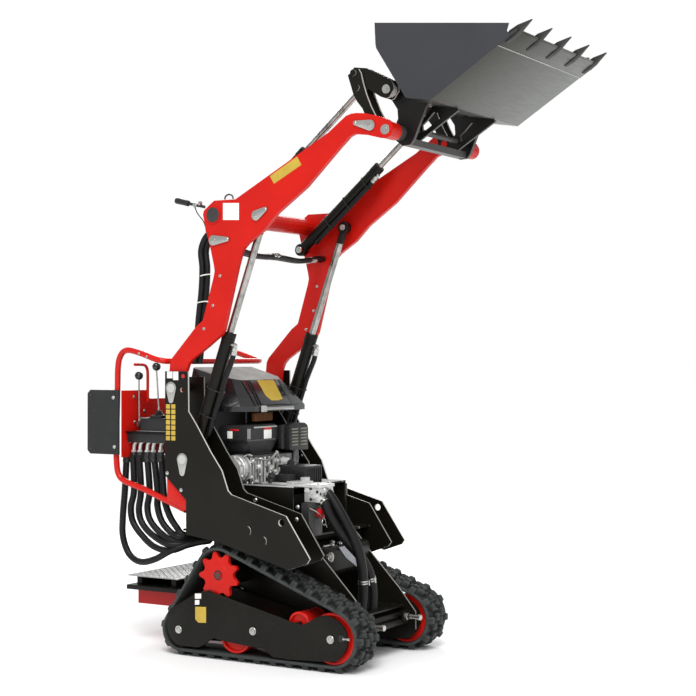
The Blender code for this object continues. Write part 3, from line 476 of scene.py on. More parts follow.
def on_belt(runs, s, out):
    """A point at a distance along the belt, and out from its surface."""
    for length, place, angle, radius in runs:
        if s <= length:
            break
        s -= length
    s = min(s, length)
    if radius is None:
        normal = angle + math.pi / 2
        return (place[0] + s * math.cos(angle) + out * math.cos(normal),
                place[1] + s * math.sin(angle) + out * math.sin(normal))
    normal = angle - s / radius
    return place[0] + (radius + out) * math.cos(normal), place[1] + (radius + out) * math.sin(normal)


# Each block: its middle along the pitch and across the half width, its half sizes and its height.
BLOCKS = points("0.5,0.8,0.17,0.17,1 0.5,-0.8,0.17,0.17,1 0.16,0.46,0.2,0.15,0.97 0.84,-0.46,0.2,0.15,0.97 "
                "0.62,0.16,0.19,0.16,1 0.38,-0.16,0.19,0.16,1 0,-0.02,0.09,0.1,0.55 "
                "0.34,0.63,0.16,0.1,0.62 0.66,-0.63,0.16,0.1,0.62 0.39,0.31,0.14,0.1,0.66 "
                "0.61,-0.31,0.14,0.1,0.66")


def tread(s, across):
    """How far the tread stands out, as a share of the lug's height, at a place on one pitch."""
    best = 0.0
    for bs, by, half_s, half_y, height in BLOCKS:
        ds = abs((s - bs + 0.5) % 1.0 - 0.5) / half_s
        far = (ds ** 4 + (abs(across - by) / half_y) ** 4) ** 0.25
        best = max(best, height * min(1.0, max(0.0, (1.28 - far) / 0.42)))
    edge = abs(across)
    if edge > 0.80:
        fin = (1.0 - edge) / 0.20
        grouser = 1.0 - max(0.0, abs(s - 0.5) - 0.14) / 0.16 - 0.55 * (1 - fin)
        best = max(0.0, min(1.0, max(best if edge < 0.9 else 0.0, grouser))) * min(1.0, fin * 2.4)
    return best * best * (3 - 2 * best)


def belt(side, sign, along=22):
    """One belt as a closed skin: tread outside, smooth bands, plain inside."""
    outer, inner = wrapped(TRACK_WHEELS, LUG), wrapped(TRACK_WHEELS, LUG + BELT_T)
    long_out, long_in = (sum(run[0] for run in runs) for runs in (outer, inner))
    middle, half = (BELT_OUT + BELT_IN) / 2, (BELT_OUT - BELT_IN) / 2
    shares = [-0.86 + 1.72 * k / 26 for k in range(27)]
    lip = ((-1.0, -BELT_T * 0.75), (-1.0, -3.5), (-0.975, -0.8))
    rows = [(*lip, *((share, LUG * tread(k / along, share / 0.93)) for share in shares),
             *((-y, out) for y, out in lip[::-1])) for k in range(along)]
    rings = []
    for k in range(LUGS * along):
        s = k / (LUGS * along)
        places = [(y, *on_belt(outer, s * long_out, out)) for y, out in rows[k % along]]
        places += [(y, *on_belt(inner, s * long_in, 0.0)) for y in (0.965, 0.0, -0.965)]
        rings.append([bm.verts.new((x, sign * (middle + half * y), z)) for y, x, z in places])
    for low, high in zip(rings, rings[1:] + rings[:1]):
        band(low, high)
    return piece(f"belt_{side}", BELT_RUBBER, "chassis", f"track_{side}", f"track_{side}", angle=50)


for side, sign in SIDES:
    made = belt(side, sign)
    print(made.name, "faces:", len(made.data.polygons))

# %% [markdown]
# ## Idlers, rollers and sprockets
# An idler is a drum with a raised rim at each end and a dished web, welded from rings. The rear one is
# black, the others red. The sprocket is a burned-out red plate whose teeth have rounded flanks, with
# a hex bolt in its hub, on the black housing of its motor. All keep the reach of their solid parts.

# %% Idlers, rollers and sprockets
WIDE, DISH = WHEEL_OUT - WHEEL_IN, 10
TEETH = 9
# Shares of one tooth's pitch, and the radius there.
TOOTH = points("0,70 0.1,68.5 0.22,70 0.3,74.5 0.37,83 0.44,92.5 0.49,94 0.62,94 0.67,92.5 0.75,83 "
               "0.83,74.5 0.92,71.5")


def idler(name, centre, radius, side, sign):
    half = [(DISH, radius * 0.3), (DISH, radius - 11), (0, radius - 9), (0, radius - 1.5), (1.5, radius),
            (12, radius), (13.5, radius - 1.5)]
    stud(*centre, sign * WHEEL_IN, sign, half + [(WIDE - along, r) for along, r in half[::-1]], 72)
    piece(f"{name}_wheel_{side}", BLACK if name == "rear_idler" else RED, "chassis", f"{name}_{side}",
          f"{name}_{side}")


def drive_sprocket(side, sign):
    x, z = SPROCKET
    turns = [(2 * math.pi * (k + share) / TEETH, r) for k in range(TEETH) for share, r in TOOTH]
    slab([(x + r * math.cos(a), z + r * math.sin(a)) for a, r in turns], sign * (BELT_OUT - 26),
         sign * (BELT_OUT - 10.5))
    stud(x, z, sign * (BELT_OUT - 12), sign, "0,45 2.2,43 3,19.5", 48)
    piece(f"drive_sprocket_{side}", RED, "chassis", f"sprocket_{side}", f"sprocket_{side}")
    stud(x, z, sign * (LEG_OUT + 0.3), sign, "0,45 120,45 128,43 157.2,43", 48)
    piece(f"drive_motor_{side}", BLACK, "chassis", f"sprocket_{side}")


for side, sign in SIDES:
    for name, centre, radius in ROLLERS:
        idler(name, centre, radius, side, sign)
    drive_sprocket(side, sign)
print("wheels: 8, sprockets: 2")

# %% [markdown]
# ## Cylinders
# A barrel is honed tube, painted black, with a gland nut at its mouth and a welded port near each
# end. The rod is ground and hard-chromed. A steel elbow at the port takes a hose, which runs along
# the barrel to the other end under plastic ties.

# %% Cylinders
GLAND = points("-36,0 -35,1.5 -21.5,1.5 -20.8,0.2 -19.2,0.2 -18.5,1.5 -1,1.5 2.6,-0.5")


def collar(r, long, ease):
    """A cylinder's profile with eased ends."""
    return (0, r - ease), (ease, r), (long - ease, r), (long, r - ease)


def barrel(base, top, y, r, length, eye, half):
    start, end = beside(base, top, eye * 0.6, y), beside(base, top, length, y)
    long = math.dist(start, end)
    mouth = [(long + along, r + out) for along, out in GLAND]
    turned((start, end), ((0, r * 0.8), (4, r), *mouth, (long + 3, r * 0.66)), 48)
    stud(*base, y - half, 1, collar(eye, 2 * half, 1.2), 40)


def rod(base, top, y, r, start, eye, half):
    a, b = beside(base, top, start, y), beside(base, top, math.dist(base, top) - eye * 0.7, y)
    turned((a, b), ((0, r - 1), (1, r), (math.dist(a, b), r)), 48)
    stud(*top, y - half, 1, collar(eye, 2 * half, 1), 40)


def hose_and_fittings(base, top, y, start, end, aside, r, inward):
    """Draws the hose, then its fittings, and stops after each so that it can be made a piece."""
    def at(along, y, out=0):
        return beside(base, top, along, y, out)

    hose_y = y - math.copysign(inward, y)
    wide = aside * (1.18 if aside > 35 else 1)      # the wide hose leaves the barrel below its elbow
    bent([at(start, y, aside * 0.74), at(start + 12, y, aside * 0.82), at(start + 34, hose_y, aside),
          at((start + end) / 2, hose_y, aside), at(end - 150, hose_y, aside), at(end - 70, hose_y, wide),
          at(end - 40, hose_y, wide * 0.97)], r * 0.96, 12, 5)
    yield "hose", HOSE_RUBBER
    a, b = at(end - 43, hose_y, wide * 0.96), at(end - 12, hose_y, wide * 0.93)
    long, thick, thin = math.dist(a, b), r * 1.12, r * 0.92
    turned((a, b), ((0, r * 1.04), (1, thick), (long * 0.42, thick), (long * 0.45, thin),
                    (long * 0.52, thin), (long * 0.55, thick), (long - 1, thick), (long, r * 0.9)), 6)
    port = at(end - 8, y, aside * 0.3)
    bent([b, at(end - 2, hose_y, wide * 0.88), port], r * 0.72, 10, 4)
    turned((at(end - 7.5, y, aside * 0.62), port),
           ((0, r * 0.85), (1, r * 0.95), (9, r * 0.95), (10, r * 0.85)), 6)
    yield "fittings", ZINC


def ties(base, top, y, sign, r, hose, places):
    """Plastic ties round the barrel and its hose."""
    start, end, aside, hose_r, inward = hose
    for place in places:
        ring = []
        for a in circle(28):
            towards, reach = math.cos(a), r + 1.2
            if towards > 0:
                reach += (aside + hose_r - r) * towards ** 2.2
            out = reach * 0.98 * math.sin(a) * (1 if towards <= 0 else 0.92)
            ring.append(beside(base, top, place, sign * (y - inward * max(0, towards)) + out,
                               reach * towards))
        swept(ring + [ring[0]], 2, 6)


# Ends, Y, the barrel's radius, length, eye and half width, the rod's radius, start, eye and half
# width, the hose's start, end, reach aside, radius and reach inwards, and the places of the ties.
CYLINDERS = (
    ("lift", LIFT_BASE, LIFT_TOP, LIFT_Y, (26, 537, 31, 24), (14.4, 470, 24, 16.5),
     (100, 500, 39, 11.5, 0), (190, 300)),
    ("tilt", TILT_BASE, ROD_PIN, TILT_Y, (22.5, 510, 26, 15), (12, 340, 19.5, 10),
     (70, 490, 32, 10, 13), (180, 300, 420)))

for side, sign in SIDES:
    for name, base, top, y, barrel_sizes, rod_sizes, hose, tie_places in CYLINDERS:
        body, slot = f"{side} {name} barrel", f"{name}_barrel_{side}"
        barrel(base, top, sign * y, *barrel_sizes)
        piece(f"{name}_barrel_skin_{side}", BLACK, body, slot, slot)
        for kind, look in hose_and_fittings(base, top, sign * y, *hose):
            piece(f"{name}_{kind}_{side}", look, body, slot)
        ties(base, top, y, sign, barrel_sizes[0], hose, tie_places)
        piece(f"{name}_ties_{side}", GRAINED, body, slot)
        rod(base, top, sign * y, *rod_sizes)
        if name == "tilt":
            stud(*top, sign * y - 14.7, 1, "0,9.4 0.6,10 28.8,10 29.4,9.4", 32)
        piece(f"{name}_rod_skin_{side}", CHROME, f"{side} {name} rod", f"{name}_rod_{side}",
              f"{name}_rod_{side}")
    a, b = (beside(LIFT_TOP, LIFT_BASE, d, sign * LIFT_Y) for d in (70, 14))
    turned((a, b), ((0, 14.8), (1.2, 15.6), (math.dist(a, b), 15.6)), 40)
    stud(*LIFT_TOP, sign * LIFT_Y - 16.8, 1, "0,23.6 1.2,24.8 32.1,24.8 33.3,23.6", 40)
    piece(f"lift_rod_end_{side}", BLACK, f"{side} lift rod", f"lift_rod_{side}")
    stud(*LIFT_TOP, sign * (LIFT_Y - 16), -sign, "0,12.5 4,12.5 5,11.5", 28)
    stud(*TILT_BASE, sign * (TILT_Y - 22.5), -sign, "0,14.3 2.2,14.3 3.2,13.2", 28)
    piece(f"inner_pin_ends_{side}", ZINC, "arms", "lift_arms")
print("cylinders: 4")

# %% [markdown]
# ## Track frames
# Two laser-cut plates hold the idlers between them. Their outline rises over the front idler in a
# rounded head, with a notch behind it where the upper roller shows. Three axle bolts sit on washers
# in the outer plate, and a tension screw leaves a slot at its nose.

# %% Track frames
FRAME_OUTLINE = ("-330,229 -435,170 -453,147 -459,112 -453,79 -438,50 -411,31 -366,25 -300,26 -280,36 "
                 "-226,71 -200,65 -59,53 10,52 30,37 55,23 122,21 268,27 330,32 352,44 375,69 389,96 "
                 "391,122 386,145 372,166 350,185 325,197 292,203 270,199 248,190 226,176 190,157 "
                 "133,165 93,177 -175,236 -254,253 -300,244")


def bolt(place, way, r, high=5, washer=1.55):
    """A hex head on a round washer, standing out from a place."""
    axis, wide = (place, Vector(place) + Vector(way)), r * washer
    turned(axis, ((0, wide - 0.4), (0.4, wide), (1.2, wide), (1.6, wide - 0.4)), 28)
    turned(axis, ((1.4, r), (high - 0.8, r), (high, r * 0.84)), 6)


for side, sign in SIDES:
    for y0, y1 in ((FRAME_OUT - 8, FRAME_OUT), (BELT_IN + 2, BELT_IN + 10)):
        slab(FRAME_OUTLINE, sign * y0, sign * y1, 1)
    for x, z, r in points("-285,150,16 20,110,16 -398,86.3,10 314,113.6,10 -131.7,90,10 164.2,157,10"):
        stud(x, z, sign * (BELT_IN + 6), sign, ((0, r), (154, r)), 20)
    piece(f"roller_frame_{side}", BLACK, "chassis", f"track_frame_{side}", f"track_frame_{side}")
    for x, z in points("-397.5,88.2 -39,113.5 314.2,113.5"):
        stud(x, z, sign * FRAME_OUT, sign, "0,15 0.6,15.6 1.4,15.6 2,15", 32)
        stud(x, z, sign * FRAME_OUT, sign, "1.8,10.5 6,10.5 6.8,9.2 6.8,5.2 3,5")
    turned(((372, sign * (FRAME_OUT + 3), 122), (402, sign * (FRAME_OUT + 3), 122.5)),
           "0,5 10,5 10.5,3.6 20,3.6 20.5,6 28.5,6 30,4.5", 12)
    piece(f"roller_frame_bolts_{side}", ZINC, "chassis", f"track_frame_{side}")
    block(((352, sign * (FRAME_OUT - 1), 110), (376, sign * (FRAME_OUT + 2.2), 134)), 1)
    piece(f"tension_slot_{side}", GRAINED, "chassis", f"track_frame_{side}")
    stud(*SPROCKET, sign * (BELT_OUT - 9.2), sign, "0,19 1,20 1.6,19 1.6,15 -4,14.5", 36)
    piece(f"sprocket_socket_{side}", GRAINED, "chassis", f"sprocket_{side}")
    stud(*SPROCKET, sign * (BELT_OUT - 8), sign, "0,10.5 3.8,10.5 4.6,9.2", 6)
    piece(f"sprocket_bolt_{side}", SCORCHED, "chassis", f"sprocket_{side}")


def labels(name, look, face, thick, body, slot, *outlines):
    """Blank plates on the right face of the machine, at a distance from its middle."""
    for outline in outlines:
        slab(outline, -face, -face - thick, 0.2)
    piece(name, look, body, slot)


labels("blank_frame_label", STICKER_YELLOW, FRAME_OUT, 0.6, "chassis", "track_frame_right",
       "-315,186 -262,189 -262,126.5 -300,124 -315,137")
labels("blank_frame_label_white", STICKER_WHITE, FRAME_OUT, 0.6, "chassis", "track_frame_right",
       "-316.4,238 -286,240 -286,220 -316.4,217", "-316.4,212 -295,214 -295,196 -316.4,193")
print("track frames: 2")

# %% [markdown]
# ## Arm fittings
# Each pin through an arm is kept from turning by a zinc flag: a drop-shaped plate welded to the pin
# and screwed to the arm at its narrow end. The cross tube's end is closed by a grey cap. Beside it
# stand a lifting eye and the hand grip of the safety cable, and blank stickers lie flat on the paint.

# %% Arm fittings
RIGHT, AHEAD, UP = (0, -1, 0), (1, 0, 0), (0, 0, 1)
ARM_FLAGS = ((LIFT_TOP, (16, 1746)), (TILT_BASE, (-164, 1637)), ((484, 2034), (421, 2047)))
CHASSIS_FLAGS = ((ARM_PIVOT, (-429, 1003)), (LIFT_BASE, (-373, 714)))


def drop(centre, tip, big, small, y0, y1):
    """A drop-shaped plate from a big round end to a small one."""
    heading = math.atan2(tip[1] - centre[1], tip[0] - centre[0])
    ring = []
    for middle, r, start in ((tip, small, heading - math.pi / 2), (centre, big, heading + math.pi / 2)):
        for a in (start + math.pi * k / 12 for k in range(13)):
            ring.append((middle[0] + r * math.cos(a), middle[1] + r * math.sin(a)))
    slab(ring, y0, y1, 0.8)


def flag(centre, tip, face, sign, big, small, thick, heads):
    """A drop with a round head at each end, on a face at this distance from the machine's middle."""
    drop(centre, tip, big, small, sign * face, sign * (face + thick))
    for place, (r, high) in zip((centre, tip), heads):
        stud(*place, sign * face, sign, ((0, r), (high - 0.8, r), (high, r * 0.8)), 20)


for side, sign in SIDES:
    for centre, tip in ARM_FLAGS:
        flag(centre, tip, HEAD_OUT, sign, 20.5, 8.8, 3, ((8.5, 4.8), (5.2, 5.8)))
    for x, z in points("-280,1287 -236,1378 -202,1494"):
        bolt((x, sign * ARM_OUT, z), (0, sign, 0), 4.2, 3.6, 1.5)
    stud(*HINGE, sign * HEAD_OUT, sign, "0,18 0.6,18.8 2.2,18.8 3,18 3,9 5.8,8.4", 32)
    piece(f"pin_flags_{side}", ZINC, "arms", "lift_arms")
    for centre, tip in CHASSIS_FLAGS:
        flag(centre, tip, PLATE_OUT, sign, 25.5, 12.5, 2.6, ((7, 3.4), (5.5, 3.7)))
    for x, z in points("-447,711 -378,646"):
        stud(x, z, sign * PLATE_OUT, sign, "0,7.8 2.6,7.8 3.6,6.2")
    piece(f"chassis_flags_{side}", ZINC, "chassis", f"side_plate_{side}")
    stud(*ELBOW, sign * (HEAD_OUT - 1), sign, "0,30 1.8,30 3.4,29 4.4,26 4.8,10", 40)
    piece(f"cross_tube_cap_{side}", DARK_GREY, "arms", "lift_arms")

swept([(-165.7 + 19.5 * math.cos(a), -345, 1798.5 + 15 * math.sin(a))
       for a in (math.pi * k / 14 for k in range(-1, 16))], 3.2, 10)
piece("lifting_eye", SCORCHED, "arms", "lift_arms")
bent("-282.3,-345,1770 -300,-350,1774.5 -329,-352,1780 -360,-353,1788 -416.3,-354,1801", 6, 12, 5)
bent("-328.6,-350,1771 -314,-350,1744 -288.1,-350,1716.1 -276,-350,1690 -270.9,-350,1662.6", 2.2, 8, 6)
piece("grip_bar_and_cable", GRAINED, "arms", "lift_arms")
turned("-356,-353,1786.8 -419,-354,1801.8", "0,10.5 2,12 12,11.8 30,11.2 58,12.2 64,11")
piece("hand_grip", GRAINED, "arms", "lift_arms")
for x, z in points("-333,1780 -306,1785.94"):
    turned(((x, -351.5, z), (x + 10, -351, z - 2)), "0,8.5 0.8,9.5 8.5,9.5 9.5,8.5", 20)
bolt((-320, -359, 1777), RIGHT, 4.5, 4)
piece("grip_clamp", ZINC, "arms", "lift_arms")
labels("blank_white_sticker", STICKER_WHITE, ARM_OUT, 0.5, "arms", "lift_arms",
       "-187.4,1780.3 -110.7,1776.4 -110.7,1709.9 -187.4,1713.5")
labels("blank_yellow_sticker", STICKER_YELLOW, ARM_OUT, 0.5, "arms", "lift_arms",
       "34.2,1872.7 160.1,1939.9 179.2,1906.6 53.7,1841.8")
for x, z in points("-185.5,1480 -204,1375 -242,1295"):
    bolt((x, 335, z), RIGHT, 4.2, 3.6, 1.5)
piece("far_arm_bolts", ZINC, "arms", "lift_arms")
print("arm fittings made")

# %% [markdown]
# ## Hoses along the arms
# Two hoses climb the inside of the right arm under white ties. Behind the elbow they turn across
# to the left cylinder, with a silver coupling half-way. A hose is rubber over braid, and it bends in
# even curves, so a tube is swept along one smooth path.

# %% Hoses along the arms
CLIMB = points("-345,1150 -334,1240 -326,1330 -312,1440 -308,1530 -314,1600 -288,1655 -240,1680")
for dx, y in points("-4,-323.5 14,-312"):
    bent([(x + dx, y, z) for x, z in CLIMB], 11.8, 14, 8)
piece("right_arm_hoses", HOSE_RUBBER, "arms", "arm_hose_right", "arm_hose_right")
# X and Y, Z where the hose is level, and how much of its dip it has there.
CROSSING = points("-170,-334.5,1592,0 -170,-280,1592,0 -172,-150,1592,1 -170,0,1589,0.6 -168,150,1588,1 "
                  "-170,280,1592,0 -170,334.5,1592,0")
for dx, dz, dip in points("0,0,10 18,4,14"):
    bent([(x + dx, y, z + dz - dip * share) for x, y, z, share in CROSSING], 10.8, 14, 8)
piece("crossing_hoses", HOSE_RUBBER, "arms", "arm_hose_left", "arm_hose_left")
for x, y, z in points("-170.5,-90,1584 -152.5,-55,1588 -170.5,215,1584 -152.5,225,1588"):
    turned(((x, y, z), (x, y + 50, z + 1)),
           "0,11.2 1,12.8 14,12.8 15,11.2 20,11.2 21,14 32,14 33,11.2 46,11.2", 6)
piece("crossing_couplings", ZINC, "arms", "arm_hose_left")
for x, z in points("-306,1500 -322,1393"):
    swept([(x + 22.5 * math.cos(a) + 6.5, -317.8 + 19.5 * math.sin(a), z + 4 * math.cos(a))
           for a in circle(28) + [2 * math.pi]], 2.4, 8)
    swept([(x + 28, -330, z + 4), (x + 50, -357.5, z + 2), (x + 66, -359, z)], 2.2, 8)
piece("white_hose_ties", STICKER_WHITE, "arms", "arm_hose_right")
print("arm hoses made")

# %% [markdown]
# ## Guard, rear panel and wings
# The guard is one bent tube with welded gussets. The panel behind it is sheet steel with a
# handle made from a thinner bar, and dark wings of sheet plastic are bolted to the guard's uprights.

# %% Guard, rear panel and wings
GUARD = points("-372,350,564 -468,350,598 -588,350,640 -682,350,667 -716,350,694 -727,350,745 "
               "-728,350,834 -725,350,950 -722,350,1060 -720,350,1130 -712,350,1170 -692,350,1196 "
               "-660,350,1203 -600,350,1190 -530,350,1168 -492,340,1160 -475,300,1158")
left, right = (curve_through([(x, sign * y, z) for x, y, z in GUARD], 5) for sign in (1, -1))
swept(right + left[::-1], 12.2, 18)
for sign in (1, -1):
    slab("-456,695 -358,605 -358,562 -456,598", sign * 357.5, sign * 363.7, 0.8)
piece("bent_guard", TUBE_RED, "chassis", "guard", "guard")
for sign in (1, -1):
    for x, z in points("-600,1189.5 -560,1176.5"):
        stud(x, z, sign * 360, sign, "0,5 5,5 6.5,3.8", 16)
    for x, z in points("-728,1009 -722,807"):
        bolt((x, sign * 370.5, z), (0, sign, 0), 5.2, 4.5, 1.5)
piece("guard_bolts", ZINC, "chassis", "guard")
for sign in (1, -1):
    for z in (797, 1018):
        bolt((-848, sign * 370.5, z), (0, sign, 0), 3, 2.5, 1.6)
piece("wing_screws", SCORCHED, "chassis", "wing_right")
upright("-350,764 350,764 350,1000 -166,1000 -180,1006 -187,1018 -188,1038 -350,1038", -703.1, -697)
bent([(-692.5, y, z) for y, z in points("-190,985 -190,1020 -190,1100 -194,1126 -210,1141 -240,1144 "
                                        "-276,1144")], 6.2, 12, 5)
piece("rear_panel_skin", RED, "chassis", "rear_panel", "rear_panel")
block("-700,-330,864 -460.3,330,870", 1)
piece("valve_shelf", BLACK, "chassis", "rear_panel")
for y, z in points("-276,1011 -207,951 -270,907"):
    bolt((-697, y, z), AHEAD, 5.5, 5, 1.4)
piece("panel_bolts", ZINC, "chassis", "rear_panel")
print("rear sheet metal made")

# %% [markdown]
# ## Control valves and rear hoses
# Six hoses leave the valve bank through bright elbows, hang in a bundle behind the machine, and go
# under the frame in loose curves. The outer one hangs lowest. Two hand levers with ball knobs
# work the spools, over rubber boots.

# %% Control valves and rear hoses
block("-632,-315,870.3 -500,-245,925", 3)
block("-590,-305,923 -532,-255,938", 4)
turned("-630,-280,898 -662,-280,898", "0,21 4,21 6,17 10,21 14,17 18,20.5 22,16 28,18 32,14")
turned("-561,-280,936 -562.5,-280,962", "0,20 3,20 5,15 9,17.5 12,12 16,14 22,7")
piece("control_block", GRAINED, "chassis", "control_valves", "control_valves")
ball = [(17.5 - 17.4 * math.cos(a), 0.5 + 17 * math.sin(a)) for a in (math.pi * k / 14 for k in range(15))]
for x, z in points("-667,1080.5 -575.5,1118.5"):
    turned(((x, -280, z), (x, -280, z + 1)), ball, 28)
piece("lever_knobs", GLOSS_ABS, "chassis", "control_valves")
for axis in ("-665,-280,905 -667,-280,1083", "-562.5,-280,955 -575.5,-280,1121"):
    turned(axis, ((0, 5.2), (12, 5.2), (14, 3.4), (math.dist(*points(axis)), 3.2)), 14)
turned("-665,-291,898 -665,-269,898", "0,7 1,9 21,9 22,7", 20)
for y in (-306, -254):
    block(((-636, y - 8, 914.5), (-592, y + 8, 928.5)))
block("-652,-318,870.8 -496,-242,873.8", 0.8)
turned("-561,-280,938 -562.5,-280,957", "12,8.5 19,6.5", 6)
piece("lever_rods", ZINC, "chassis", "control_valves")
block("-690,-325,825 -475,-235,863.7", 3)
piece("valve_bank_block", GRAINED, "chassis", "valve_bank", "valve_bank")

REAR_HOSES = [points(route) for route in (
    "-715,770 -719,626 -732,515 -737,432 -705,362 -640,335 -560,352 -480,392",
    "-680,772 -675,628 -697,558 -690,497 -640,445 -567,401 -481,392",
    "-645,773 -640,629 -655,545 -632,490 -567,444 -480,415",
    "-610,774 -602,630 -612,560 -590,505 -530,455 -470,432",
    "-576,775 -558,633 -552,565 -525,505 -480,462 -440,448",
    "-541,776 -528,650 -515,590 -492,530 -462,485 -430,458")]
HOSE_TOPS = [(x, -300 + 4 * (k % 2), z) for k, (x, z) in enumerate(route[0] for route in REAR_HOSES)]


def long_of(path):
    """A path's length in whole millimetres."""
    return round(sum((b - a).length for a, b in zip(path, path[1:])))


hose_mm = []
for k, (route, (x, y, z)) in enumerate(zip(REAR_HOSES, HOSE_TOPS)):
    path = curve_through([*((x, y - 6 * math.sin(n * 1.3 + k), z) for n, (x, z) in enumerate(route)),
                          (-405, -252 + 7 * k, 420 + 5 * k), (-345, -222 + 5 * k, 432 + 3 * k)], 8)
    hose_mm.append(long_of(path))
    swept(path, 13.6, 14)
piece("hanging_hoses", HOSE_RUBBER, "chassis", "rear_hoses", "rear_hoses")
for x, y, z in HOSE_TOPS:
    turned(((x, y, z - 30), (x, y, z)), "0,14.2 2,16 12,16 14,14.8 18,16 30,15.8 42,12", 20)
piece("hose_ferrules", GRAINED, "chassis", "rear_hoses")
for x, y, z in HOSE_TOPS:
    bent([(x + dx, y, z + dz) for dx, dz in points("0,8 0,26 4,46 18,60 34,64")], 7.2, 12, 5)
    turned(((x, y, z + 10), (x, y, z + 24)), "0,9.5 1,10.8 9,10.8 10,9.5", 6)
    turned(((x + 26, y, z + 62.5), (x + 44, y, z + 65)), "0,9 1,10.2 12,10.2 13,9", 6)
piece("hose_elbows", BRIGHT_CAST, "chassis", "rear_hoses")
print("rear hose lengths in mm:", hose_mm)

# %% [markdown]
# ## Blank labels and welds on the side plates
# Pictures and words are left off. Their labels stay as blank plates of the same size and colour.

# %% Blank labels and welds
labels("blank_white_labels", STICKER_WHITE, PLATE_OUT, 0.5, "chassis", "side_plate_right",
       "-450.2,1117 -422.5,1117 -422.5,1090 -450.2,1090", "-419.5,1117 -393.5,1117 -393.5,1083 -419.5,1083")
labels("blank_yellow_labels", STICKER_YELLOW, PLATE_OUT, 0.5, "chassis", "side_plate_right",
       *(((x, z), (x + 20.5, z), (x + 20.5, z - 17.2), (x, z - 17.2))
         for x in (-455, -428.5) for z in (986 - 21.2 * row for row in range(7))))
stud(-370, 1098.5, -PLATE_OUT, -1, "0,8.5 1.2,7.8")
piece("red_spot", LENS_RED, "chassis", "side_plate_right")
for side, sign in SIDES:
    for x, z, r in points("-62,500,20 13,465,18"):
        swept([(x + r * math.cos(a), sign * (PLATE_OUT + 0.2), z + r * math.sin(a))
               for a in map(math.radians, range(-40, 80, 8))], 1.6, 6)
piece("weld_arcs", SCOURED, "chassis", "side_plate_right")
print("labels: blank")

# %% [markdown]
# ## Hood
# The hood is one moulding with a folded look: a pale cover on top, sloping facets in gloss black, and
# a raised panel in the middle of the front. Under the panel a bright zinc strip along the low front
# edge is a painted highlight, where the edge catches the light, and one facet on the left of the
# front is drawn in satin grey as a painted reflection. A blank plate stands where the panel's badge
# was. The facets are drawn as strips from the low edge to the top edge.

# %% Hood
HOOD_LOW = points("-440,-257.7 -330,-257.7 -306,-238 -206,-210 -166,-166 -160,-126 -160,98 -160,160 "
                  "-166,206 -206,232 -330,257.7 -440,257.7")
HOOD_TOP = points("-440,-210 -352,-205 -332,-193 -284,-160 -264,-128 -260,-74 -260,72 -260,129 "
                  "-266,170 -290,196 -350,205 -440,210")
SLOPE_OUT = Vector((104, 0, 100)).normalized()


def hood_level(ring, below=None, z=955, middle=-300, share=1.0, share_y=1.0):
    """A ring of the hood at a height, or at a distance below its sloping top, drawn in by a share."""
    return [(middle + (x - middle) * share, y * share_y,
             z if below is None else 1083 + 0.28 * (-260 - x) - below) for x, y in ring]


def on_slope(corners, proud):
    """Places over the hood's front slope, from shares of its height and Y."""
    return [Vector((-160 - 100 * share, y, 976 + 104 * share)) + SLOPE_OUT * proud
            for share, y in points(corners)]


def front_panel(corners, proud, thick):
    soften(skin([on_slope(corners, proud - thick), on_slope(corners, proud)]), 1.4)


shell = [hood_level(HOOD_TOP, 12, share=0.94, share_y=0.965),
         hood_level(HOOD_LOW, share=0.94, share_y=0.965),
         hood_level(HOOD_LOW), hood_level(HOOD_LOW, z=976), hood_level(HOOD_TOP, 3)]
soften(skin(shell), 2.5, profile=0.7, least=0.15)
piece("hood_shell", GLOSS_ABS, "chassis", "hood", "hood", angle=14)
skin([hood_level(HOOD_TOP, 4), hood_level(HOOD_TOP, -0.5, middle=-350, share=0.975, share_y=0.975)])
piece("hood_top_cover", COVER_ABS, "chassis", "hood", angle=30)
front_panel("0.03,-124 0.03,92 0.985,128 0.985,-72", 4.5, 7.5)
piece("hood_front_panel", GLOSS_ABS, "chassis", "hood", angle=25)
BADGE = "0.965,-23.9 0.955,99.2 0.224,57.6 0.169,21.4 0.171,-32.4 0.366,-47.6 0.713,-33.6"
skin([on_slope(BADGE, 4), on_slope(BADGE, 5.2)])
piece("blank_hood_plate", STICKER_YELLOW, "chassis", "hood")
# Painted reflection: this facet of the black moulding is drawn in satin grey, lighter than the rest.
front_panel("0.03,98 0.03,150 0.965,162 0.965,134", 3, 5)
piece("hood_grey_facet", PAINTED_FACET_REFLECTION, "chassis", "hood", angle=25)
front_panel("0.05,-140 0.05,-132 0.97,-80 0.97,-86", 2.2, 3)
front_panel("0.05,-160 0.05,-152 0.97,-122 0.97,-128", 2.2, 3)
piece("hood_grooves", GRAINED, "chassis", "hood")
# Painted highlight: a bright zinc strip along the hood's low front edge stands in for light on its chamfer.
slab("-158,958 -155,958 -152,961 -153,970 -157,973", -94, 104)
piece("hood_lip", ZINC, "chassis", "hood")
slab("-158.5,953 -153.5,952 -150,960 -154,977 -158.5,979", -132, -96)
piece("hood_catch", GREY_ABS, "chassis", "hood")
bent("-300,228,1035 -318,235,1075 -350,238,1088 -385,236,1078 -400,232,1050", 7, 10, 6)
piece("hood_cable_loop", GRAINED, "chassis", "hood")
print("hood: 9 pieces")

# %% [markdown]
# ## Fuel tank and muffler shield
# The tank is two mouldings joined by a flange. Where its top edge catches the light, light grey
# strips are laid on it as painted highlights. The muffler hides behind a pressed shield with two
# columns of louvres, which let the heat out. Each louvre is a short blade that leans out of the
# sheet, drawn in a brighter steel than the shield as a painted highlight.

# %% Fuel tank and muffler shield
def loft(levels, ease):
    """A box that changes with height. A level is its range in X, its range in Y, and Z."""
    soften(skin([((x0, y0, z), (x1, y0, z), (x1, y1, z), (x0, y1, z))
                 for x0, x1, y0, y1, z in points(levels)]), ease, 3, 0.5, 0.2)


def fins(low, high, step, count, ease=1, top_step=0):
    """A row of equal blocks, each a step further than the last, whose tops can fall away."""
    for k in range(count):
        a, b = Vector(low) + k * Vector(step), Vector(high) + k * Vector(step)
        block((a, (b.x, b.y, b.z + k * top_step)), ease)


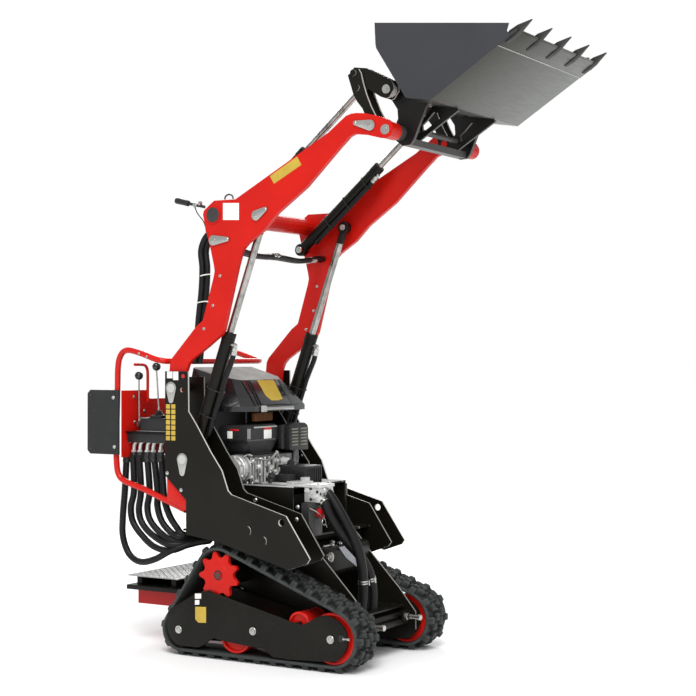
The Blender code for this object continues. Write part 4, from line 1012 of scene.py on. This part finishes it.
loft("-285,-175,-168,-45,780.3 -298,-163,-222,-6,838", 6)
loft("-300,-161,-228,-2,843 -300,-161,-228,-2,888 -290,-172,-215,-14,901.5", 5)
piece("fuel_tank_shell", GRAINED, "chassis", "fuel_tank", "fuel_tank", angle=30)
loft("-300,-158.5,-228.5,0,837.5 -300,-158.5,-228.5,0,843.2", 1)
piece("fuel_tank_flange", GLOSS_ABS, "chassis", "fuel_tank")
# Painted highlight: light grey strips along the tank's top edge and two upright strips stand in for light
# caught there.
block("-163,-176,888.5 -160,-14,894.5", 1)
fins((-162, -223.5, 846), (-159.8, -217.5, 888), (0, 12.5, 0), 2, 0.8)
piece("fuel_tank_bright_edges", GREY_ABS, "chassis", "fuel_tank")
block("-161.2,-108,844 -160.3,-53,879.5", 0.2)
block("-256,-229,848 -231,-228.4,877", 0.2)
piece("fuel_tank_blank_labels", STICKER_WHITE, "chassis", "fuel_tank")
block("-161.2,-108,880 -160.2,-53,889", 0.2)
block("-245,-229,879 -200,-228.4,886", 0.2)
piece("fuel_tank_red_bands", LENS_RED, "chassis", "fuel_tank")
upright("26,792 167,788 167,880 160,893 140,902 60,904 34,898 26,884", -154, -122.5, 4)
upright("-6,798 30,796 30,898 -2,896", -160, -142, 3)
turned("-190,35,845 -190,160,845", "0,46 4,50 121,50 125,46", 36)
piece("muffler_shield", SHIELD_STEEL, "chassis", "muffler", "muffler")
# Painted highlight: the louvre blades are drawn in a brighter steel than the shield they are pressed from,
# standing in for the light they catch.
for row in range(6):
    lean = Matrix.Translation((-121.2, 0, 878 - 13 * row)) @ Matrix.Rotation(math.radians(28), 4, "Y")
    for y0, y1 in points("38,86 104,152"):
        slab("-1,-4.2 1,-4.2 1,3.8 -1,3.8", y0, y1, 0.6, lean)
piece("muffler_louvres", SCOURED, "chassis", "muffler")
bent("-140,84,800 -138,86,770 -137,82,740 -142,70,718 -158,60,710", 16.5, 20, 6)
turned("-138,86.2,764 -137.8,85.8,756", "0,17.2 1,18.2 7,18.2 8,17.2")
piece("exhaust_pipe", CAST, "chassis", "muffler")
print("tank and muffler made")

# %% [markdown]
# ## Engine
# A small engine shows a mass of bright castings: a round starter housing on the near side, a gear
# case with ribs in front, brackets, bolts and pipes. They stand on the plain blocks of the solid
# model, so that each boss and bolt has something behind it.

# %% Engine
STARTER = (-235, 724)


def boss(x, y, z, profile, sides=24):
    """A turned shape that starts at a place and points ahead."""
    turned(((x, y, z), (x + 1, y, z)), profile, sides)


stud(*STARTER, -168, -1, "0,59 6,59 8,55.6 20,55.6 22,57 30,57 32,55.6 46.5,55.6 47.8,54 48,40.8 "
                         "57,40.6 57.6,38 57.6,24 58.8,22", 48)
for a in (math.radians(25 + 60 * k) for k in range(6)):
    bolt((STARTER[0] + 48 * math.cos(a), -215.5, STARTER[1] + 48 * math.sin(a)), RIGHT, 4.6, 6, 1.4)
for x, z in points("-176,772 -163.5,768 -151,772 -138.5,768 -126,772"):
    block(((x - 2.2, -180, 668), (x + 2.2, -166, z)), 1.2)
for x, z, r in points("-163,756,9 -137,734,12 -171,690,8 -150,676,7"):
    stud(x, z, -168, -1, ((0, r * 1.2), (10, r * 1.1), (11, r * 0.8), (20, r * 0.8), (22, r * 0.6)), 20)
for y, z, r, high in points("-150,748,13,16 -118,724,16,12 -90,757,11,20 -92,712,9,18 -146,700,10,14 "
                            "-58,745,12,14 -30,758,10,12 5,750,12,10"):
    boss(-121, y, z, ((0, r * 1.15), (high * 0.5, r * 1.05), (high * 0.55, r * 0.75),
                      (high - 1, r * 0.72), (high, r * 0.5)), 20)
block("-121,-68,738 -100,-28,766", 3)
for y in (-165, -135, -104, -76):
    block(((-121.5, y - 2.2, 668), (-113, y + 2.2, 776)), 1)
block("-118,-185,665.5 26,-158,676")
block("-20,-155,665.5 60,-82,681")
block("23,-120,676 48,-88,696")
block("-345,-204.5,660.5 45,-198.5,666.5", 1.2)
piece("engine_castings", BRIGHT_CAST, "chassis", "engine_block")

for path, r in (("-112,-172,741 -108,-134,768 -106,-96,792", 4.8),
                ("-106,-96,792 -108,-74,760 -110,-51,727", 4.2),
                ("-150,-188,760 -130,-184,770 -112,-168,762 -104,-140,770", 4),
                ("-100,-150,690 -85,-140,700 -80,-120,716 -90,-104,728", 5),
                ("-90,-60,700 -70,-50,712 -74,-34,730", 4.5),
                ("-200,-190,776 -180,-196,784 -160,-190,778", 4)):
    bent(path, r, 10, 5)
for y, z in points("-172,741 -96,790 -51,727 -134,712 -75,694"):
    bolt((-108, y, z), AHEAD, 6, 7, 1.4)
for x, z in points("-190,668 -165,668 -130,703.5"):
    bolt((x, -186, z), RIGHT, 5, 6, 1.4)
piece("engine_pipes_and_bolts", ZINC, "chassis", "engine_block")

turned("-80,-176,672 -76,-172,712", "0,14 18,13 24,17 36,16 40,10", 20)
block("-76,-150,676 -10,-100,706", 4)
block("-123.5,-76.5,666 21.5,46.5,736.5", 6)
fins((-114, -80.5, 670), (-110, -75.5, 732), (12, 0, 0), 11, top_step=-2)
fins((20.5, -68, 670), (25, -64, 726), (0, 14, 0), 8)
for a in (math.radians(200 + 19 * k) for k in range(7)):
    y, z = 45 + 78 * math.cos(a), 752 + 78 * math.sin(a)
    bent([(-105, y * 0.5 + 22, z * 0.5 + 380), (-92, y * 0.8 + 10, z * 0.8 + 152), (-98, y, z)], 5, 8, 4)
boss(-110, 8, 734, "0,22 12,22 16,17 18,6", 28)
block("-300,-180,782 -165,-30,788")
piece("engine_dark_covers", GRAINED, "chassis", "engine_block")
boss(-87, 8, 734, "0,6 3,6 5,4", 16)
boss(-95, -50, 716, "0,6 3,6 5,4", 16)
piece("engine_bright_screws", ZINC, "chassis", "engine_block")
block("-215,-118,913 -199,12,948", 3)
fins((-199.5, -116, 915), (-197, -111, 946), (0, 10, 0), 13, 0.8)
piece("air_filter", FILTER_PAPER, "chassis", "engine_block")
print("engine dressed")

# %% [markdown]
# ## Pump manifold, switch and front hoses
# The manifold is a milled and plated block with plugged ports. Two wide suction hoses leave it
# under band clamps, and dive to the cross pipe between the tracks. The red isolator on the switch box
# carries a spring clip.

# %% Pump manifold, switch and front hoses
block("10,-200,664.3 165,-90,676.3", 1.5)
block("90,-195,606 160,-92,670", 3)
for y, z, r in points("-166,653,12 -118,635,20 -178,620,10"):
    boss(158, y, z, ((0, r), (6, r), (7, r * 0.85), (13, r * 0.8), (14, r * 0.6)), 6)
for x, z in points("105,652 140,630"):
    stud(x, z, -193, -1, "0,12 8,12 9,8 13,8", 6)
for x, y in points("30,-185 30,-105 150,-188 150,-102 90,-145"):
    bolt((x, y, 676), UP, 5.5, 6, 1.4)
piece("milled_manifold", BRIGHT_CAST, "chassis", "pump_manifold", "pump_manifold")
for y, z, r in points("-145,655,7.5 -188,640,6 -150,618,6.5"):
    boss(159, y, z, ((0, r), (2.2, r * 0.92)), 20)
for x, z in points("120,660 150,648 120,618"):
    stud(x, z, -194, -1, "0,6.5 2.2,6", 20)
piece("manifold_ports", GRAINED, "chassis", "pump_manifold")

FRONT_HOSES = (
    ("a", "160.5,-140,640 172,-140,634 196,-136,600 232,-125,538 262,-105,466 280,-90,400 286,-76,325 "
          "284,-70,240 280,-70,195 280,-70,174.5"),
    ("b", "160.5,-168,612 170,-168,600 186,-160,556 214,-140,498 240,-100,440 262,-50,386 276,-12,325 "
          "282,10,245 280,13,195 280,13,174.5"))
for name, route in FRONT_HOSES:
    path = curve_through(route, 8)
    swept(path, 19.5, 24)
    piece(f"suction_hose_{name}", HOSE_RUBBER, "chassis", f"front_hose_{name}", f"front_hose_{name}")
    print("front hose", name, "mm:", long_of(path))
    for k in (3, len(path) - 22):
        middle, ahead = path[k], (path[k + 1] - path[k - 1]).normalized()
        for offset in (-7.5, 1.5):
            start = middle + ahead * offset
            turned((start, start + ahead), "0,20 0.6,21.2 5.2,21.2 5.8,20", 28)
        start = middle + 22.5 * ahead.cross(Vector(UP)).normalized() - 8 * ahead
        turned((start, start + ahead), "0,4 14,4 14.5,5.2 20,4.8", 6)
    piece(f"band_clamps_{name}", ZINC, "chassis", f"front_hose_{name}")

block("85,-210,478.3 143.5,-150,604")
upright("-250,603.5 -150,603.5 -150,479 -210,479 -246,530", 142.5, 145, 0.6)
piece("switch_panel", DARK_GREY, "chassis", "switch_box", "switch_box")
boss(145, -177, 566, "0,18 3,18 5,12 15,11")
block("152,-198,556 162,-152,582", 3)
block("153,-180,542 160.5,-156,557")
piece("isolator_switch", LENS_RED, "chassis", "switch_box")
bent("148,-248,589 164,-220,573 165,-190,554 160,-169,537", 2.2, 8, 5)
swept([(160, -162 + 12 * math.cos(a), 529 + 12 * math.sin(a)) for a in circle(24) + [2 * math.pi]], 1.8, 8)
bent("160,-154,520 159,-144,513 156,-135,505", 2, 8, 4)
for x, z in points("-93,611 105,593 100,545"):
    stud(x, z, -266, -1, "0,8.5 1.5,8.5 3.5,6.2 5,3", 20)
for x, z in points("-218,718 -205,720"):
    stud(x, z, -257.5, 1, "0,4.2 3,4.2 4.5,3", 14)
for x, z in points("-214,755 -183,679 -69,537 -231,703"):
    stud(x, z, 258, -1, "0,6.2 3,6.2 5.5,4.2", 16)
piece("spring_clip_and_screws", ZINC, "chassis", "switch_box")
print("manifold, switch and front hoses made")

# %% [markdown]
# ## Hydraulic tank and front frame
# The tank's sloping face is the brightest thing low down, because it looks up at the sky. That
# reflection is painted on as a pale grey metal skin over the black tank's face. Its filler cap and
# the fittings over it are plated. Tension rods end in nuts between the tracks.

# %% Hydraulic tank and front frame
slab("60,330 72,315 90,310 150,310 166,316 172,332 172,408 166,424 150,430 90,430 72,425 60,410",
     -171.7, 171.7, 2.5)
piece("oil_tank_shell", BLACK, "chassis", "hydraulic_tank", "hydraulic_tank", angle=25)
# Painted reflection: a pale grey metal skin over the tank's sloping face stands in for the sky reflected
# there.
skin([[(x, y, z) for y, z in points("-74,421.5 10,422.5 52,378 71,326 -19,375")] for x in (172.2, 174.4)])
piece("oil_tank_bright_face", PAINTED_SKY_REFLECTION, "chassis", "hydraulic_tank")
boss(170, -145, 390, "0,18 6,18 7,20.5 13,20.5 14.5,19 15,10 16,9.5", 32)
swept("158,-165,433 158,-85,433", 3, 10)
for y, z in points("-96,444 -102,433 -41,434 -20,434"):
    boss(150, y, z, "0,7.2 10,7.2 11,5 16,4.5", 6)
for sign in (1, -1):
    boss(373, sign * 146, 134, "0,9.5 10,9.5 10.5,8.5 40,8.5 40.5,11.5 50,11.5 52.5,9.5", 18)
    boss(357, sign * 146, 134, "0,14.5 1,15.5 9,15.5 11,13", 6)
for sign in (1, -1):
    for x, z in points("-218,241 -51,159"):
        stud(x, z, sign * 179.5, sign, "0,7.5 3.5,7.5 6,5", 16)
piece("tank_cap_and_rod_ends", ZINC, "chassis", "hydraulic_tank")
print("tank and front frame dressed")

# %% [markdown]
# ## Platform
# The operator stands on checker plate: rolled steel with rows of lens-shaped ribs, each turned
# against its neighbours. The ribs are 1.5 mm high.

# %% Platform
STEP, ROWS, COLUMNS = 17.8, 15, 25


def rib(x, y, turn):
    """A lens-shaped rib, open below, whose top is drawn in."""
    rings = []
    for share, z in ((1, 265.4), (0.7, 266.9)):
        lens = [(8.6 * share * math.cos(a), 2.6 * share * math.sin(a)) for a in circle(10)]
        rings.append([bm.verts.new((x + u * math.cos(turn) - v * math.sin(turn),
                                    y + u * math.sin(turn) + v * math.cos(turn), z)) for u, v in lens])
    bm.faces.new(rings[1])
    band(*rings)


block("-767,-230,261 -500,230,265.5", 1.2)
for i in range(ROWS):
    for j in range(COLUMNS + 1):
        if -222 + STEP * j <= 224:
            rib(-758 + STEP * i, -222 + STEP * j, math.radians(45 if (i + j) % 2 else -45))
piece("checker_plate", CHECKER, "chassis", "platform", "platform")
block("-772,-230,205 -480,230,224")
block("-740,-200,222 -715,200,263")
block("-560,-200,222 -535,200,263")
piece("platform_frame", BLACK, "chassis", "platform")
print("platform made")

# %% [markdown]
# ## Bucket
# The bucket's sides are painted, and its floor is left as bare steel, scoured by use. A wear plate
# is welded under the lip, with a bright bead along its edge. Five cast teeth with long points
# are welded over it. The coupler's narrow edges carry a faint painted highlight in its coat.

# %% Bucket
FLOOR_ALONG, FLOOR_UP = Vector((0.8454, 0, 0.5341)), Vector((-0.5341, 0, 0.8454))
LIP_START, BUCKET_HALF, TOOTH_COUNT = Vector((1060.6, 0, 2302.4)), 372, 5


def on_floor(s, n, y):
    """A place under the bucket: along its floor from the lip's start, up from it, and across."""
    return LIP_START + FLOOR_ALONG * s + FLOOR_UP * n + Vector((0, y, 0))


def wedge(sections, y, ease):
    """A shape along the floor. A section is its place, its low and high side, and their half widths."""
    soften(skin([[on_floor(s, n, y + w) for n, w in ((low, -a), (low, a), (high, b), (high, -b))]
                 for s, low, high, a, b in points(sections)]), ease)


wedge("0,0.2,10,372,372 35.5,0.2,4,372,372", 0, 0.6)
wedge("-54,-1.6,0,371,371 30,-1.6,0.5,371,371", 0, 0.3)
piece("lip_plate", BUCKET_STEEL, "bucket", "cutting_edge", "cutting_edge")
for k in range(TOOTH_COUNT):
    wedge("-30,-4,4,12,12 4,-6.2,22,16.5,15 40,-3,20,13.5,12 91.8,4,7,3,2.5",
          (k - 2) * (BUCKET_HALF - 25) / 2, 1.6)
piece("bucket_teeth", TOOTH_STEEL, "bucket", "cutting_edge")
swept([on_floor(-54.5 + 0.6 * math.sin(k * 1.7), -1, -371 + 742 * k / 120) for k in range(121)], 2.2, 6)
piece("bucket_weld_beads", ZINC, "bucket", "bucket")
for sign in (1, -1):
    stud(*COUPLER_PIN, sign * 308.5, sign, "0,17.5 2.6,17.5 3.6,16.5 3.6,8 6.2,7.2", 28)
piece("coupler_pin_caps", ZINC, "bucket", "coupler")
print("bucket dressed")

# %% [markdown]
# ## Finishes on the solid parts
# Most plates are right as they are, and only get their paint and a 1.2 mm rounding on their sharp
# edges, which catches the light as real flame-cut and ground edges do.

# %% Finishes on the solid parts
LOOKS = (
    (RED, "lift_arms rear_panel"), (TUBE_RED, "guard"), (BRACKET_RED, "platform_bracket"),
    (BLACK_PLATE, "side_plate rocker tilt_link"), (FRAME_PLATE, "chassis_frame"),
    (COUPLER_COAT, "coupler"), (BLACK, "track_frame platform switch_box lift_barrel tilt_barrel "
                                       "hydraulic_tank control_valves valve_bank rear_idler"),
    (RED, "front_idler lower_roller upper_roller sprocket"), (BUCKET_STEEL, "bucket"),
    (SCOURED, "cutting_edge"), (CHROME, "lift_rod tilt_rod"), (CAST, "engine_block pump_manifold"),
    (BELT_RUBBER, "track"), (HOSE_RUBBER, "rear_hoses front_hose_a front_hose_b arm_hose"),
    (GLOSS_ABS, "hood"), (GRAINED, "fuel_tank wing"), (SCORCHED, "muffler"))


def dress(look, names):
    for name in names.split():
        for side in ("", "_left", "_right"):
            node = NODES.get(name + side)
            if node:
                node.data.materials.clear()
                node.data.materials.append(look)
                eased = node.modifiers.new("eased edges", "BEVEL")
                eased.width, eased.segments, eased.angle_limit = 0.0012, 2, math.radians(42)
                eased.harden_normals = True


for look, names in LOOKS:
    dress(look, names)
print("dressed:", sum(len(names.split()) for look, names in LOOKS), "kinds of part")

# %% [markdown]
# ## Studio
# The photo is a cut-out on white. A white world and a wide soft sun light the pale floor just up to
# white, so that it melts into the background and still takes the loader's shadow. Two soft lamps
# give the paint its highlights.

# %% Studio
def studio():
    world = bpy.data.worlds.new("studio")
    bpy.context.scene.world = world
    world.use_nodes = True
    tree = world.node_tree
    tree.nodes.clear()
    seen = add(tree, "LightPath").outputs
    either = calc(tree, "MAXIMUM", seen["Is Camera Ray"], seen["Is Transmission Ray"])
    light = add(tree, "Background", {"Color": "FFFFFF", "Strength": 0.62})
    white = add(tree, "Background", {"Color": "FFFFFF", "Strength": 1.0})
    mixed = add(tree, "MixShader", {0: either, 1: light.outputs[0], 2: white.outputs[0]})
    add(tree, "OutputWorld", {"Surface": mixed.outputs[0]})


def lamp(name, place, aim, width, watts):
    data = bpy.data.lights.new(name, "AREA")
    data.size, data.energy = width, watts
    made = bpy.data.objects.new(name, data)
    bpy.context.scene.collection.objects.link(made)
    made.location = place
    made.rotation_euler = (Vector(aim) - Vector(place)).to_track_quat("-Z", "Y").to_euler()


def sun(strength, towards, spread):
    data = bpy.data.lights.new("soft sun", "SUN")
    data.energy, data.angle = strength, math.radians(spread)
    made = bpy.data.objects.new("soft sun", data)
    bpy.context.scene.collection.objects.link(made)
    made.rotation_euler = Vector(towards).to_track_quat("Z", "Y").to_euler()


def floor():
    grid = bmesh.new()
    bmesh.ops.create_grid(grid, x_segments=1, y_segments=1, size=60)
    data = bpy.data.meshes.new("floor")
    grid.to_mesh(data)
    grid.free()
    made = bpy.data.objects.new("floor", data)
    bpy.context.scene.collection.objects.link(made)
    look, tree, shader, place = blank("pale floor")
    tree.links.new(mix(tree, noise(tree, place, 400, 2), "FFFFFF", "FCFCFC"), shader.inputs["Base Color"])
    shader.inputs["Roughness"].default_value = 0.9
    shader.inputs["Specular IOR Level"].default_value = 0.1
    data.materials.append(look)
    made.location.z = -0.0005


studio()
floor()
sun(1.7, (0.35, -0.62, 1.0), 24)
lamp("key", (3.0, -4.5, 3.6), (0.1, 0, 1.2), 2.2, 90)
lamp("rim", (-3.0, 4.0, 3.5), (0, 0, 1.4), 2.5, 120)
bpy.context.scene.view_settings.view_transform = "Standard"
print("studio: soft sun, 2 lamps, white world, pale floor")
